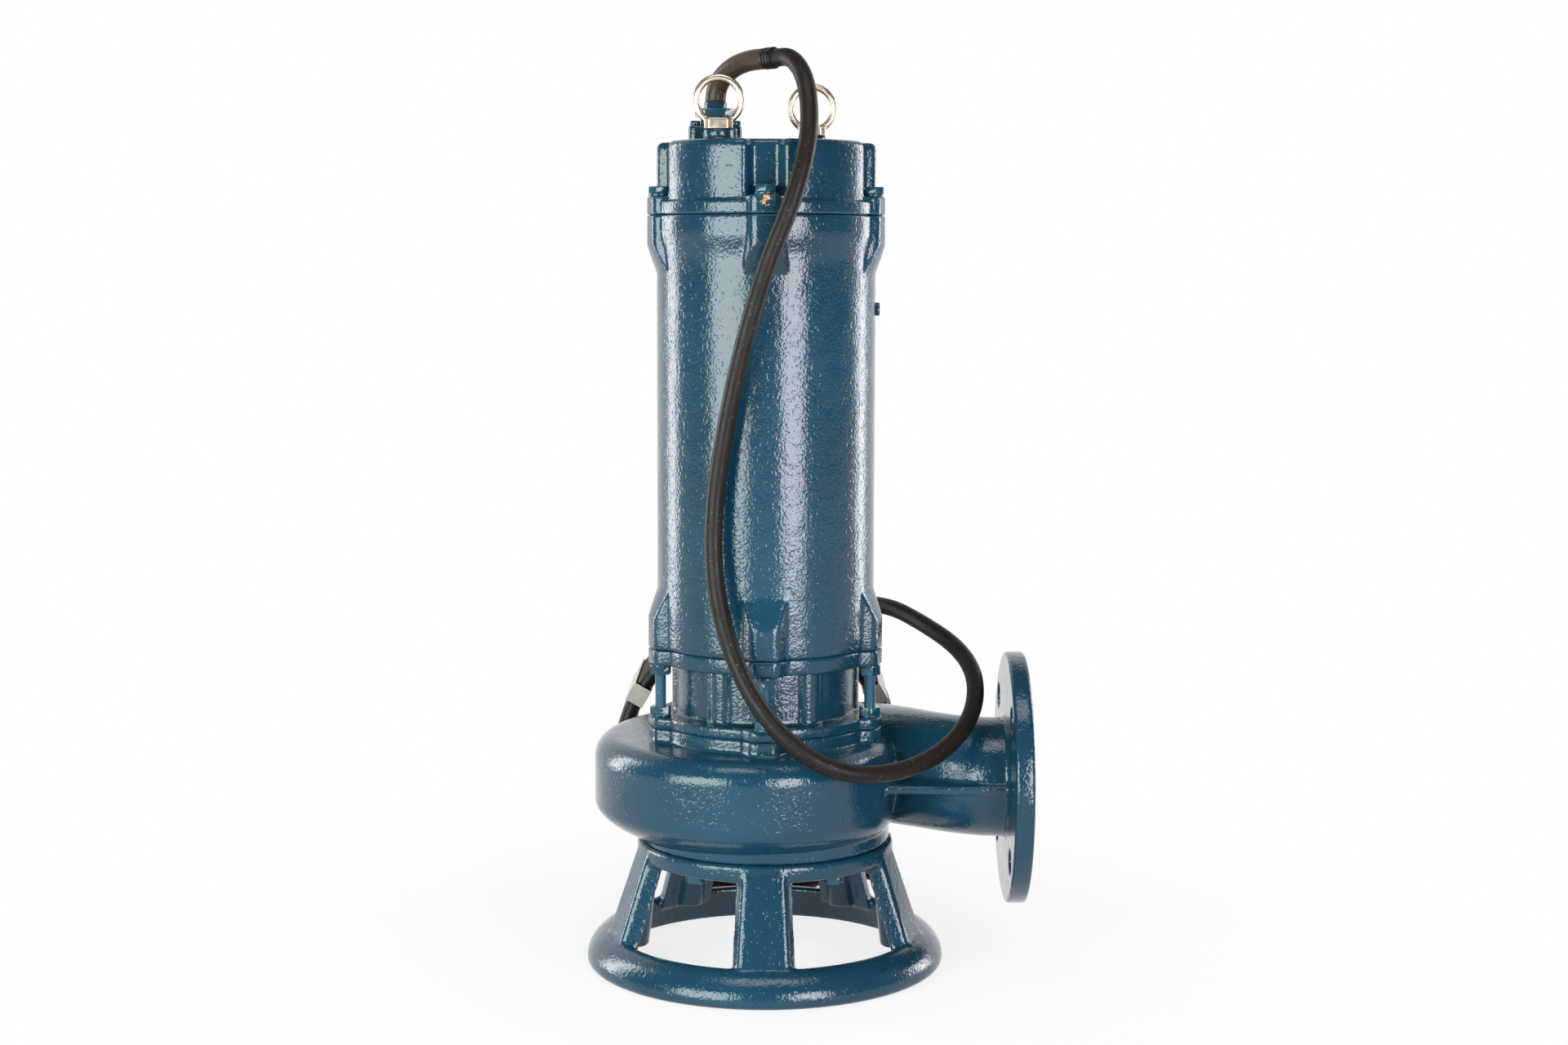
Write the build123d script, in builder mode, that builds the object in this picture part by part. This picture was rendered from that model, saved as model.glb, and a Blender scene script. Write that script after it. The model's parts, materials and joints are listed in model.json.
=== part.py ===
from build123d import *
from math import copysign, cos, hypot, pi, radians, sin, tan
import os

# Submersible sewage pump on a ring stand, with its cable. All sizes are in millimetres.
# The origin is the floor point on the shaft axis, +Z runs up the shaft and +X out of the outlet flange.

# Joint pattern shared by the stand, the volute, the housings and the cover
lug_count = 5
front = -90.0
between = front + 180.0 / lug_count
stud_circle = 82.0
lug_reach = 89.6
lug_tip_width = 19.0
lug_root_width = 34.0
lug_shoulder = 78.0
flange_radius = 80.2
lug_tip_rounding = 8.0

# Fasteners
thread_radius = 4.0
thread_gap = 0.05
clearance = 0.5
nut_flats = 14.0
nut_height = 5.6
washer_radius = 8.0
washer_thickness = 1.6
stud_engagement = 15.0
stud_depth = 9.0
shaft_clearance = 0.5
o_ring_depth = 2.7
o_ring_width = 3.6

# Ring stand
stand_height = 95.5
foot_radius = 135.4
foot_inner_radius = 117.5
foot_crest_radius = 116.0
foot_crest_height = 25.3
foot_widest_height = 6.3
foot_toe = 3.6
foot_bulge = 9.0
foot_lip = 3.0
stand_ring_radius = 97.0
stand_ring_bore = 60.0
stand_ring_thickness = 13.0
leg_thickness = 14.0
leg_top_radius = 97.4
leg_foot_radius = 118.6
leg_top_width = 30.7
leg_foot_width = 38.7
leg_draft = 4.6
leg_edge_radius = 3.5
leg_top_drop = 7.6
leg_top_step = 2.5
leg_root_depth = 9.0
boss_radius = 11.0
boss_circle = 95.0
boss_foot_height = 19.0
base_bolt_circle = 85.0
base_bolt_engagement = 8.5

# Volute casing
volute_height = 89.0
volute_wall = 7.0
collar_radius = 94.0
scroll_start_radius = 96.0
scroll_growth = 50.0
scroll_steps = 6
scroll_low_step = 1.5
scroll_tongue_lift = 10.0
scroll_steepness = 0.42
outlet_turn = 270.0
passage_corner = 14.0
scroll_flat_low = 124.0
scroll_flat_high = 157.0
deck_corner = 17.0
deck_height = scroll_flat_high + deck_corner
opening_radius = 70.0
passage_floor = 112.0
suction_radius = 40.0
wear_ring_radius = 50.0
wear_ring_height = 12.0

# Outlet neck and its flange
outlet_height = 141.5
outlet_neck_radius = 45.0
outlet_bore = 40.0
outlet_face = 196.0
outlet_flange_radius = 95.0
outlet_flange_thickness = 14.5
outlet_bolt_circle = 75.0
outlet_bolt_hole = 9.0
web_thickness = 6.0
web_reach = 51.0
flange_rounding = 2.0
bore_step = 0.6
bore_depth = 20.0

# Sections of the outlet neck: x, centre y, half width, low and high edge, squareness, passage floor
section_points = 24
outlet_stations = (
    (0.0, 101.0, 45.0, 97.0, 173.0, 3.0, 112.0),
    (32.0, 96.0, 50.0, 97.0, 177.0, 2.9, 110.0),
    (64.0, 77.0, 55.0, 96.8, 182.0, 2.7, 107.0),
    (92.0, 53.0, 56.0, 96.5, 185.5, 2.4, 104.0),
    (116.0, 32.0, 52.0, 96.5, 186.5, 2.2, 102.5),
    (140.0, 12.5, 47.5, 96.5, 186.5, 2.05, 102.1),
    (162.0, 1.8, 45.3, 96.5, 186.5, 2.0, 102.1),
    (184.0, 0.0, 45.0, 96.5, 186.5, 2.0, 102.1),
)

# Oil chamber and lower bearing housing
chamber_plate = 8.0
chamber_height = 39.0
chamber_radius = 66.5
chamber_wall = 6.5
chamber_boss_radius = 12.0
chamber_boss_circle = 58.5
chamber_boss_count = 6
bearing_plate = 12.2
spigot_depth = 6.0
spigot_wall = 8.0
oil_plug_radius = 6.0
oil_plug_azimuth = 90.0
seal_seat_radius = 20.0
seal_seat_height = 8.0
seal_seat_top = 198.0
seal_pocket_depth = 5.0
hub_wall = 8.0
bearing_bottom = 245.0
bearing_cover_thickness = 4.0
cover_screw_count = 3
cover_screw_radius = 2.0
cover_screw_depth = 8.0
fit_gap = 0.05

# Motor casing
casing_length = 319.9
casing_radius = 81.4
casing_bore = 72.5
collar_flare_radius = 85.0
collar_flare_height = 10.5
upper_lug_length = 22.0
lower_lug_length = 23.3
lug_slope_length = 21.0
bracket_step = 2.0
bracket_seat_depth = 24.0
bracket_thickness = 12.0
bracket_window_circle = 52.0
bracket_window_radius = 7.0
side_screw_height = 495.0
side_screw_radius = 2.5
side_screw_depth = 6.0
side_screw_head = 3.0

# Top cover
cover_height = 53.4
cover_radius = 81.0
cover_flange = 9.6
cover_pad = 13.4
cover_edge_radius = 5.0
cover_wall = 7.5
flute_back_radius = 72.0
flute_back_width = 18.0
flute_mouth_width = 31.0
flute_rounding = 4.0
cover_spigot_wall = 8.0
cover_washer_thickness = 2.2
cover_bolt_head = 5.0
cover_bolt_length = 32.0

# Lifting eyes
eye_circle = 58.0
eye_azimuth = -126.0
eye_ring_radius = 16.2
eye_wire_radius = 2.6
eye_centre_above = 28.0
eye_collar_width = 20.4
eye_collar_corner = 3.4
eye_collar_edge = 1.0
eye_collar_height = 8.0
eye_seat_height = 7.4
eye_seat_radius = 10.8
eye_shank_radius = 5.0
eye_shank_length = 14.0

# Cable gland
gland_x = -38.0
gland_y = 10.0
gland_flange_length = 39.4
gland_flange_width = 28.0
gland_flange_height = 12.6
gland_screw_spacing = 30.0
gland_screw_radius = 2.5
gland_screw_head = 3.85
gland_neck_radius = 8.4
gland_neck_top = 30.0
gland_nut_flats = 26.0
gland_nut_height = 6.4
gland_nut_bottom = 19.0
gland_thread_radius = 11.0
gland_flange_corner = 5.0
gland_grommet_height = 5.0
inner_cable_length = 8.0
inner_core_length = 22.0

# Cable
cable_radius = 6.5
sleeve_radius = 7.6
band_radius = 7.9
coil_radius = 119.0
coil_x = -8.0
coil_front = 152.0
coil_turns = 9
core_radius = 2.2
core_length = 55.0
tie_width = 16.0
tie_thickness = 0.8
tie_gap = 0.35
coil_tie_azimuths = (30.0, 150.0, 270.0)

# Routes of the cable: corner points from the gland over the arch, down the front and back to the coil
sleeve_route = (
    (-38.0, 10.0, 647.0),
    (-38.0, 10.0, 658.5),
    (-27.0, -1.3, 671.0),
    (-13.4, -15.2, 675.8),
    (0.0, -29.0, 676.0),
)
cable_route = (
    (6.26, -35.45, 676.09),
    (18.8, -48.36, 676.27),
    (29.5, -74.0, 656.5),
    (31.5, -96.0, 618.0),
    (19.0, -107.0, 575.0),
    (-2.0, -104.0, 528.0),
    (-19.0, -98.0, 472.0),
    (-33.0, -92.0, 405.0),
    (-39.0, -89.0, 345.0),
    (-35.0, -92.0, 290.0),
    (-19.0, -106.0, 236.0),
    (8.0, -117.0, 198.0),
    (45.0, -122.0, 174.0),
    (88.0, -104.0, 164.0),
    (128.0, -72.0, 172.0),
    (154.0, -37.0, 193.0),
    (160.0, -3.0, 217.0),
    (152.0, 30.0, 237.0),
    (128.0, 68.0, 251.0),
    (95.0, 103.0, 259.0),
    (56.0, 138.0, 254.0),
    (17.0, 158.5, 231.5),
    (-8.0, 158.5, 231.5),
)
tail_route = (
    (-8.0, 262.5, 6.5),
    (14.0, 262.5, 6.5),
    (38.0, 256.5, 6.5),
    (59.0, 243.5, 6.5),
)

# Motor and shaft line
shaft_radius = 18.0
seal_shaft_radius = 12.5
impeller_shaft_radius = 11.0
lower_bearing_bore = 15.0
lower_bearing_radius = 36.0
lower_bearing_width = 19.0
upper_bearing_bore = 10.0
upper_bearing_radius = 26.0
upper_bearing_width = 15.0
upper_bearing_bottom = 528.0
race_recess = 3.0
circlip_width = 1.6
wave_washer_height = 1.5
ball_count = 8
race_gap = 0.2
stator_length = 140.0
stator_bore = 40.0
stator_bottom = 315.0
slot_count = 24
slot_tooth = 2.0
winding_inner_radius = 44.0
winding_outer_radius = 66.0
slot_depth = 14.0
slot_width = 5.6
winding_overhang = 31.0
air_gap = 0.4
end_ring_height = 12.0

# Impeller
impeller_radius = 66.0
impeller_bottom = 100.6
impeller_neck_radius = 44.0
impeller_eye_radius = 37.0
impeller_vane_height = 40.0
shroud_thickness = 6.0
running_gap = 0.35
impeller_hub_radius = 20.0
impeller_hub_bottom = 146.0
impeller_hub_top = 178.0
shroud_lift = 1.2
vane_start_radius = 23.0
vane_wrap = 150.0
vane_spread = 44.0
vane_taper = 30.0
vane_steps = 8
key_width = 6.0
key_height = 6.0
key_length = 25.0
key_bottom = 149.0
impeller_bolt_radius = 5.0
impeller_bolt_flats = 17.0
impeller_bolt_head = 6.4
impeller_bolt_length = 30.0
impeller_washer_radius = 16.0
impeller_washer_thickness = 3.0

# Shaft seals
seal_head_gap = 0.05
seal_head_radius = 19.0
seal_face_gap = 0.3
seal_spring_wall = 3.6
lower_head_top = 207.0
upper_head_bottom = 219.0
upper_head_top = 227.0

# Heights of the joint faces, from the floor up
volute_top = stand_height + volute_height
chamber_floor = volute_top + chamber_plate
chamber_top = chamber_floor + chamber_height
casing_bottom = chamber_top + bearing_plate
casing_top = casing_bottom + casing_length
cover_top = casing_top + cover_height

gland_screw_places = (
    (gland_x - gland_screw_spacing / 2, gland_y),
    (gland_x + gland_screw_spacing / 2, gland_y),
)


def save(piece, name):
    """Label one finished piece and write it as its own file."""
    piece.label = name
    export_step(piece, f"parts/{name}.step")


def draw_lugs():
    """Draw the five lug tips in the sketch that is open."""
    half_tip = lug_tip_width / 2
    half_root = lug_root_width / 2
    with PolarLocations(0, lug_count, start_angle=front):
        Polygon(
            (0, -half_root),
            (lug_shoulder, -half_root),
            (lug_reach, -half_tip),
            (lug_reach, half_tip),
            (lug_shoulder, half_root),
            (0, half_root),
            align=None,
        )


def round_lug_tips(outline):
    """Round the outer corners of the lugs in an open sketch."""
    tips = outline.vertices().filter_by(lambda corner: hypot(corner.X, corner.Y) > lug_reach - 0.5)
    fillet(tips, lug_tip_rounding)


def draw_bolt_circle(radius, circle, start, mode=Mode.ADD):
    """Draw one circle at each of the five bolts of a bolt circle."""
    with PolarLocations(circle, lug_count, start_angle=start):
        Circle(radius, mode=mode)


def draw_ring(inner, outer, bottom, top):
    """Draw the half section of a plain ring in an open XZ sketch."""
    with Locations(((inner + outer) / 2, (bottom + top) / 2)):
        Rectangle(outer - inner, top - bottom)


def make_ring(inner, outer, bottom, top):
    """A plain turned ring on the shaft axis."""
    with BuildPart() as ring:
        with BuildSketch(Plane.XZ):
            draw_ring(inner, outer, bottom, top)
        revolve(axis=Axis.Z)
    return ring.part


def make_o_ring(inner, outer, middle):
    """A rubber ring that fills the groove between two radii."""
    section = (outer - inner) / 2
    with BuildPart() as o_ring:
        with BuildSketch(Plane.XZ):
            with Locations(((inner + outer) / 2, middle)):
                Circle(section)
        revolve(axis=Axis.Z)
    return o_ring.part


def leg_radius_at(height):
    """Outer radius of the sloping legs at a height."""
    run = (stand_height - foot_crest_height) - leg_top_drop
    share = (stand_height - leg_top_drop - height) / run
    return leg_top_radius + (leg_foot_radius - leg_top_radius) * share


def make_leg():
    """One leg, drafted on both sides and rounded along its outer face, pointing along +X."""
    low = foot_crest_height - leg_root_depth
    high = stand_height - leg_top_step
    with BuildPart() as leg:
        for height, width in ((low, leg_foot_width), (high, leg_top_width)):
            reach = leg_radius_at(height)
            with BuildSketch(Plane.XY.offset(height)):
                Polygon(
                    (reach - leg_thickness, -width / 2 - leg_draft),
                    (reach, -width / 2),
                    (reach, width / 2),
                    (reach - leg_thickness, width / 2 + leg_draft),
                    align=None,
                )
        loft()
        long_edges = leg.edges().filter_by(lambda edge: edge.length > 0.9 * (high - low))
        outer_edges = long_edges.group_by(Axis.X)[-1]
        top_edge = leg.edges().group_by(Axis.Z)[-1].sort_by(Axis.X)[-1]
        fillet([*outer_edges, top_edge], leg_edge_radius)
    return leg.part


def make_leg_boss():
    """The upright round boss behind one leg, cut off along the leg's slope."""
    high = stand_height - stand_ring_thickness + 1
    with BuildPart() as boss:
        with BuildSketch(Plane.XY.offset(boss_foot_height)):
            with Locations((boss_circle, 0)):
                Circle(boss_radius)
        extrude(amount=high - boss_foot_height)
        with BuildSketch(Plane.XZ):
            Polygon(
                (leg_radius_at(0) - leg_thickness / 2, 0),
                (leg_radius_at(stand_height) - leg_thickness / 2, stand_height),
                (leg_radius_at(0) + 2 * boss_radius, stand_height),
                (leg_radius_at(0) + 2 * boss_radius, 0),
                align=None,
            )
        extrude(amount=2 * boss_radius, both=True, mode=Mode.SUBTRACT)
    return boss.part


def make_base_stand():
    """Ring stand: a rounded foot ring and a top ring, joined by five sloping legs."""
    leg = make_leg()
    boss = make_leg_boss()
    with BuildPart() as base_stand:
        with BuildSketch(Plane.XZ):
            with BuildLine():
                Line((foot_inner_radius, 0), (foot_radius - foot_toe, 0))
                ThreePointArc(
                    (foot_radius - foot_toe, 0),
                    (foot_radius - 0.27 * foot_toe, 0.27 * foot_widest_height),
                    (foot_radius, foot_widest_height),
                )
                Bezier(
                    (foot_radius, foot_widest_height),
                    (foot_radius, foot_widest_height + foot_bulge),
                    (foot_crest_radius + foot_bulge, foot_crest_height),
                    (foot_crest_radius, foot_crest_height),
                )
                ThreePointArc(
                    (foot_crest_radius, foot_crest_height),
                    (foot_crest_radius - 0.71 * foot_lip, foot_crest_height - 0.29 * foot_lip),
                    (foot_crest_radius - foot_lip, foot_crest_height - foot_lip),
                )
                Line((foot_crest_radius - foot_lip, foot_crest_height - foot_lip), (foot_inner_radius, 0))
            make_face()
            ring_middle = stand_height - stand_ring_thickness / 2
            with Locations(((stand_ring_bore + stand_ring_radius) / 2, ring_middle)):
                RectangleRounded(stand_ring_radius - stand_ring_bore, stand_ring_thickness, 1.8)
        revolve(axis=Axis.Z)
        with PolarLocations(0, lug_count, start_angle=front):
            add(leg)
        with PolarLocations(0, lug_count, start_angle=front):
            add(boss)
        with BuildSketch(Plane.XY.offset(stand_height)):
            draw_bolt_circle(thread_radius + clearance, base_bolt_circle, between)
        extrude(amount=-stand_ring_thickness, mode=Mode.SUBTRACT)
    return base_stand.part


def make_hex_bolts(seat, direction, circle, start, length, flats, head):
    """Five hexagon bolts on a circle. The head stands on the seat, the shank goes the other way."""
    with BuildPart() as bolts:
        with BuildSketch(Plane.XY.offset(seat)):
            with PolarLocations(circle, lug_count, start_angle=start):
                RegularPolygon(flats / 2, 6, major_radius=False)
        extrude(amount=direction * head)
        with BuildSketch(Plane.XY.offset(seat)):
            draw_bolt_circle(thread_radius, circle, start)
        extrude(amount=-direction * length)
    return bolts.part


def scroll_radius(turn):
    """Outer radius of the scroll, which grows with the turn from the tongue, in degrees."""
    return scroll_start_radius + scroll_growth * turn / outlet_turn


def scroll_plane(turn):
    """Upright plane through the shaft axis, turned clockwise from +X seen from above."""
    angle = radians(-turn)
    return Plane(origin=(0, 0, 0), x_dir=(cos(angle), sin(angle), 0), z_dir=(sin(angle), -cos(angle), 0))


def make_scroll_section(turn):
    """Outer section of the scroll, from inside the collar to its outer radius."""
    reach = scroll_radius(turn)
    inner = suction_radius - 2
    half_way = outlet_turn * 2 / 3
    left = max(0.0, 1 - (turn / half_way) ** 2)
    low = stand_height + scroll_low_step + scroll_tongue_lift * left
    steepness = scroll_steepness * min(1.0, 2.0 - turn / half_way)
    knee = low + steepness * (reach - collar_radius)
    corner = min(deck_corner, reach - flange_radius - 1.5)
    shoulder = deck_height - corner
    with BuildSketch() as section:
        with BuildLine():
            Line((inner, low), (collar_radius, low))
            Bezier((collar_radius, low), (reach, knee), (reach, scroll_flat_low))
            Line((reach, scroll_flat_low), (reach, shoulder))
            ThreePointArc(
                (reach, shoulder),
                (reach - 0.293 * corner, shoulder + 0.707 * corner),
                (reach - corner, deck_height),
            )
            Polyline((reach - corner, deck_height), (inner, deck_height), (inner, low))
        make_face()
    return section.sketch


def make_passage_section(turn):
    """Section of the water passage inside the scroll."""
    reach = scroll_radius(turn) - volute_wall
    roof = deck_height - volute_wall
    with BuildSketch() as section:
        with Locations(((wear_ring_radius + reach) / 2, (passage_floor + roof) / 2)):
            Rectangle(reach - wear_ring_radius, roof - passage_floor)
        fillet(section.vertices().group_by(Axis.X)[-1], passage_corner)
    return section.sketch


def outlet_plane(x, y=0.0):
    """Upright plane across the outlet neck, with its origin on the neck's centre line."""
    return Plane(origin=(x, y, outlet_height), x_dir=(0, 1, 0), z_dir=(1, 0, 0))


def make_outlet_section(half_width, low, high, squareness):
    """Section of the outlet neck: an ellipse where the squareness is 2, and squarer above that."""
    middle = (low + high) / 2 - outlet_height
    power = 2 / squareness
    points = []
    for step in range(section_points):
        turn = 2 * pi * step / section_points
        across = half_width * copysign(abs(cos(turn)) ** power, cos(turn))
        upward = (high - low) / 2 * copysign(abs(sin(turn)) ** power, sin(turn))
        points.append((across, middle + upward))
    with BuildSketch() as section:
        with BuildLine():
            Spline(*points, periodic=True)
        make_face()
    return section.sketch


def make_volute_casing():
    """Scroll casing with its lugged top flange, neck collar, swan-necked outlet and outlet flange."""
    scroll_turns = [outlet_turn * step / scroll_steps for step in range(scroll_steps + 1)]
    flange_back = outlet_face - outlet_flange_thickness
    with BuildPart() as volute_casing:
        with BuildSketch(Plane.XZ):
            with BuildLine():
                Polyline(
                    (suction_radius - 2, volute_top),
                    (suction_radius - 2, stand_height),
                    (collar_radius, stand_height),
                    (collar_radius, scroll_flat_high),
                    (flange_radius, deck_height - 3),
                    (flange_radius, volute_top),
                    (suction_radius - 2, volute_top),
                )
            make_face()
        revolve(axis=Axis.Z)
        for turn in scroll_turns:
            with BuildSketch(scroll_plane(turn)):
                add(make_scroll_section(turn))
        loft()
        for x, y, half_width, low, high, squareness, floor in outlet_stations:
            with BuildSketch(outlet_plane(x, y)):
                add(make_outlet_section(half_width, low, high, squareness))
        loft()
        disc_x = outlet_face - outlet_flange_thickness / 2
        disc_z = outlet_height + outlet_flange_radius / 2
        with BuildSketch(Plane.XZ) as disc:
            with Locations((disc_x, disc_z)):
                Rectangle(outlet_flange_thickness, outlet_flange_radius)
            fillet(disc.vertices().group_by(Axis.Z)[-1], flange_rounding)
        revolve(axis=Axis((0, 0, outlet_height), (1, 0, 0)))
        with BuildSketch(Plane.XY.offset(outlet_height - web_thickness / 2)):
            Polygon(
                (collar_radius - 24, -web_reach + 12),
                (collar_radius - 12, -web_reach),
                (flange_back + 1, -web_reach),
                (flange_back + 1, 0),
                (collar_radius - 24, 0),
                align=None,
            )
        extrude(amount=web_thickness)
        with BuildSketch(Plane.XY.offset(volute_top)) as flange:
            draw_lugs()
            round_lug_tips(flange)
        extrude(amount=deck_height - volute_top - 5)
        for turn in scroll_turns:
            with BuildSketch(scroll_plane(turn)):
                add(make_passage_section(turn))
        loft(mode=Mode.SUBTRACT)
        wall = outlet_neck_radius - outlet_bore + bore_step
        for x, y, half_width, low, high, squareness, floor in outlet_stations:
            with BuildSketch(outlet_plane(x, y)):
                add(make_outlet_section(half_width - wall, floor, high - wall, squareness))
        loft(mode=Mode.SUBTRACT)
        with BuildSketch(outlet_plane(outlet_face)):
            Circle(outlet_bore)
        extrude(amount=-bore_depth, mode=Mode.SUBTRACT)
        with BuildSketch(outlet_plane(outlet_face)):
            with PolarLocations(outlet_bolt_circle, 4, start_angle=45):
                Circle(outlet_bolt_hole)
        extrude(amount=-outlet_flange_thickness, mode=Mode.SUBTRACT)
        with BuildSketch(Plane.XZ):
            draw_ring(0, opening_radius, passage_floor, volute_top)
            draw_ring(0, wear_ring_radius, passage_floor - wear_ring_height, passage_floor)
            draw_ring(0, suction_radius, stand_height, passage_floor)
        revolve(axis=Axis.Z, mode=Mode.SUBTRACT)
        with BuildSketch(Plane.XY.offset(volute_top)):
            draw_bolt_circle(thread_radius + thread_gap, stud_circle, front)
        extrude(amount=-stud_depth, mode=Mode.SUBTRACT)
        with BuildSketch(Plane.XY.offset(stand_height)):
            draw_bolt_circle(thread_radius + thread_gap, base_bolt_circle, between)
        extrude(amount=base_bolt_engagement, mode=Mode.SUBTRACT)
    return volute_casing.part


def make_oil_chamber():
    """Oil chamber housing: a lugged plate, a round wall with outer bosses and a seal hub."""
    with BuildPart() as oil_chamber:
        with BuildSketch(Plane.XY.offset(volute_top)) as plate:
            Circle(flange_radius)
            draw_lugs()
            round_lug_tips(plate)
            draw_bolt_circle(thread_radius + clearance, stud_circle, front, Mode.SUBTRACT)
        extrude(amount=chamber_plate)
        with BuildSketch(Plane.XY.offset(chamber_floor)):
            Circle(chamber_radius)
            with PolarLocations(chamber_boss_circle, chamber_boss_count, start_angle=0):
                Circle(chamber_boss_radius)
        extrude(amount=chamber_height)
        with BuildSketch(oil_plug_plane(chamber_radius - chamber_wall)):
            Circle(oil_plug_radius + 4.5)
        extrude(amount=chamber_boss_circle + chamber_boss_radius - chamber_radius + chamber_wall)
        with BuildSketch(Plane.XZ):
            draw_ring(0, opening_radius - fit_gap, volute_top - spigot_depth, volute_top)
        revolve(axis=Axis.Z)
        with BuildSketch(Plane.XZ):
            draw_ring(0, chamber_radius - chamber_wall, seal_seat_top, chamber_top)
            draw_ring(0, seal_seat_radius, seal_seat_top - seal_seat_height, seal_seat_top)
            draw_ring(0, seal_shaft_radius + shaft_clearance, volute_top - spigot_depth, seal_seat_top)
            groove_middle = volute_top - spigot_depth / 2
            with Locations((opening_radius - fit_gap - o_ring_depth / 2, groove_middle)):
                Rectangle(o_ring_depth, o_ring_width)
        revolve(axis=Axis.Z, mode=Mode.SUBTRACT)
        with BuildSketch(oil_plug_plane(chamber_radius - 2 * chamber_wall)):
            Circle(oil_plug_radius)
        extrude(amount=3 * chamber_wall, mode=Mode.SUBTRACT)
    return oil_chamber.part


def oil_plug_plane(reach):
    """Plane across the filling hole of the oil chamber, at a distance from the shaft axis."""
    angle = radians(oil_plug_azimuth)
    height = chamber_floor + chamber_height / 2
    outward = (cos(angle), sin(angle), 0)
    return Plane(origin=(reach * cos(angle), reach * sin(angle), height), x_dir=(0, 0, 1), z_dir=outward)


def make_oil_plug():
    """Hexagon plug of the oil chamber's filling hole, on a flat washer."""
    seat = chamber_boss_circle + chamber_boss_radius
    with BuildPart() as oil_plug:
        with BuildSketch(oil_plug_plane(seat)):
            Circle(oil_plug_radius + 3.5)
        extrude(amount=1.5)
        with BuildSketch(oil_plug_plane(seat + 1.5)):
            RegularPolygon(oil_plug_radius + 1.5, 6, major_radius=False)
        extrude(amount=5)
        with BuildSketch(oil_plug_plane(seat)):
            Circle(oil_plug_radius - thread_gap)
        extrude(amount=-1.4 * chamber_wall)
    return oil_plug.part


def make_bearing_housing():
    """Lower bearing housing: a lugged plate with spigots, the bearing hub and the upper seal's pocket."""
    hub_top = bearing_bottom + lower_bearing_width
    with BuildPart() as bearing_housing:
        with BuildSketch(Plane.XY.offset(chamber_top)) as plate:
            Circle(flange_radius)
            draw_lugs()
            round_lug_tips(plate)
            draw_bolt_circle(thread_radius + clearance, stud_circle, front, Mode.SUBTRACT)
        extrude(amount=bearing_plate)
        spigot = casing_bore - fit_gap
        plug = chamber_radius - chamber_wall - fit_gap
        with BuildSketch(Plane.XZ):
            draw_ring(spigot - spigot_wall, spigot, casing_bottom - 1, casing_bottom + spigot_depth)
            draw_ring(plug - spigot_wall, plug, chamber_top - spigot_depth, chamber_top + 1)
            draw_ring(0, lower_bearing_radius + hub_wall, chamber_top, hub_top)
        revolve(axis=Axis.Z)
        with BuildSketch(Plane.XZ):
            draw_ring(0, lower_bearing_radius, bearing_bottom, hub_top)
            draw_ring(0, seal_seat_radius, chamber_top, chamber_top + seal_pocket_depth)
            draw_ring(0, seal_shaft_radius + shaft_clearance, chamber_top, bearing_bottom)
            draw_ring(0, lower_bearing_radius - 6, bearing_bottom - race_recess, bearing_bottom)
            with Locations((spigot - o_ring_depth / 2, casing_bottom + spigot_depth / 2)):
                Rectangle(o_ring_depth, o_ring_width)
            with Locations((plug - o_ring_depth / 2, chamber_top - spigot_depth / 2)):
                Rectangle(o_ring_depth, o_ring_width)
        revolve(axis=Axis.Z, mode=Mode.SUBTRACT)
        with BuildSketch(Plane.XY.offset(hub_top)):
            with PolarLocations(lower_bearing_radius + hub_wall / 2, cover_screw_count):
                Circle(cover_screw_radius + thread_gap)
        extrude(amount=-cover_screw_depth, mode=Mode.SUBTRACT)
    return bearing_housing.part


def make_bearing_cover():
    """Flat ring that holds the lower bearing in its hub."""
    bottom = bearing_bottom + lower_bearing_width
    with BuildPart() as bearing_cover:
        with BuildSketch(Plane.XY.offset(bottom)):
            Circle(lower_bearing_radius + hub_wall)
            Circle(lower_bearing_radius - 6, mode=Mode.SUBTRACT)
            with PolarLocations(lower_bearing_radius + hub_wall / 2, cover_screw_count):
                Circle(cover_screw_radius + clearance, mode=Mode.SUBTRACT)
        extrude(amount=bearing_cover_thickness)
    return bearing_cover.part


def make_bearing_cover_screws():
    """Round-headed screws of the lower bearing's cover."""
    seat = bearing_bottom + lower_bearing_width + bearing_cover_thickness
    with BuildPart() as screws:
        with BuildSketch(Plane.XY.offset(seat)):
            with PolarLocations(lower_bearing_radius + hub_wall / 2, cover_screw_count):
                Circle(1.7 * cover_screw_radius)
        extrude(amount=2 * cover_screw_radius)
        with BuildSketch(Plane.XY.offset(seat)):
            with PolarLocations(lower_bearing_radius + hub_wall / 2, cover_screw_count):
                Circle(cover_screw_radius)
        extrude(amount=-bearing_cover_thickness - 0.8 * cover_screw_depth)
    return screws.part


def make_studs():
    """Five long studs from the volute flange up into the casing's lower lugs."""
    with BuildPart() as studs:
        with BuildSketch(Plane.XY.offset(volute_top - stud_depth)):
            draw_bolt_circle(thread_radius, stud_circle, front)
        extrude(amount=casing_bottom + stud_engagement - volute_top + stud_depth)
    return studs.part


def make_nuts(bottom, washer_below):
    """Five hexagon nuts on the studs, each with a round washer face below or above it."""
    washer_bottom = bottom if washer_below else bottom + nut_height
    nut_bottom = bottom + washer_thickness if washer_below else bottom
    with BuildPart() as nuts:
        with BuildSketch(Plane.XY.offset(nut_bottom)):
            with PolarLocations(stud_circle, lug_count, start_angle=front):
                RegularPolygon(nut_flats / 2, 6, major_radius=False)
                Circle(thread_radius + thread_gap, mode=Mode.SUBTRACT)
        extrude(amount=nut_height)
        with BuildSketch(Plane.XY.offset(washer_bottom)):
            with PolarLocations(stud_circle, lug_count, start_angle=front):
                Circle(washer_radius)
                Circle(thread_radius + thread_gap, mode=Mode.SUBTRACT)
        extrude(amount=washer_thickness)
    return nuts.part


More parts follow.
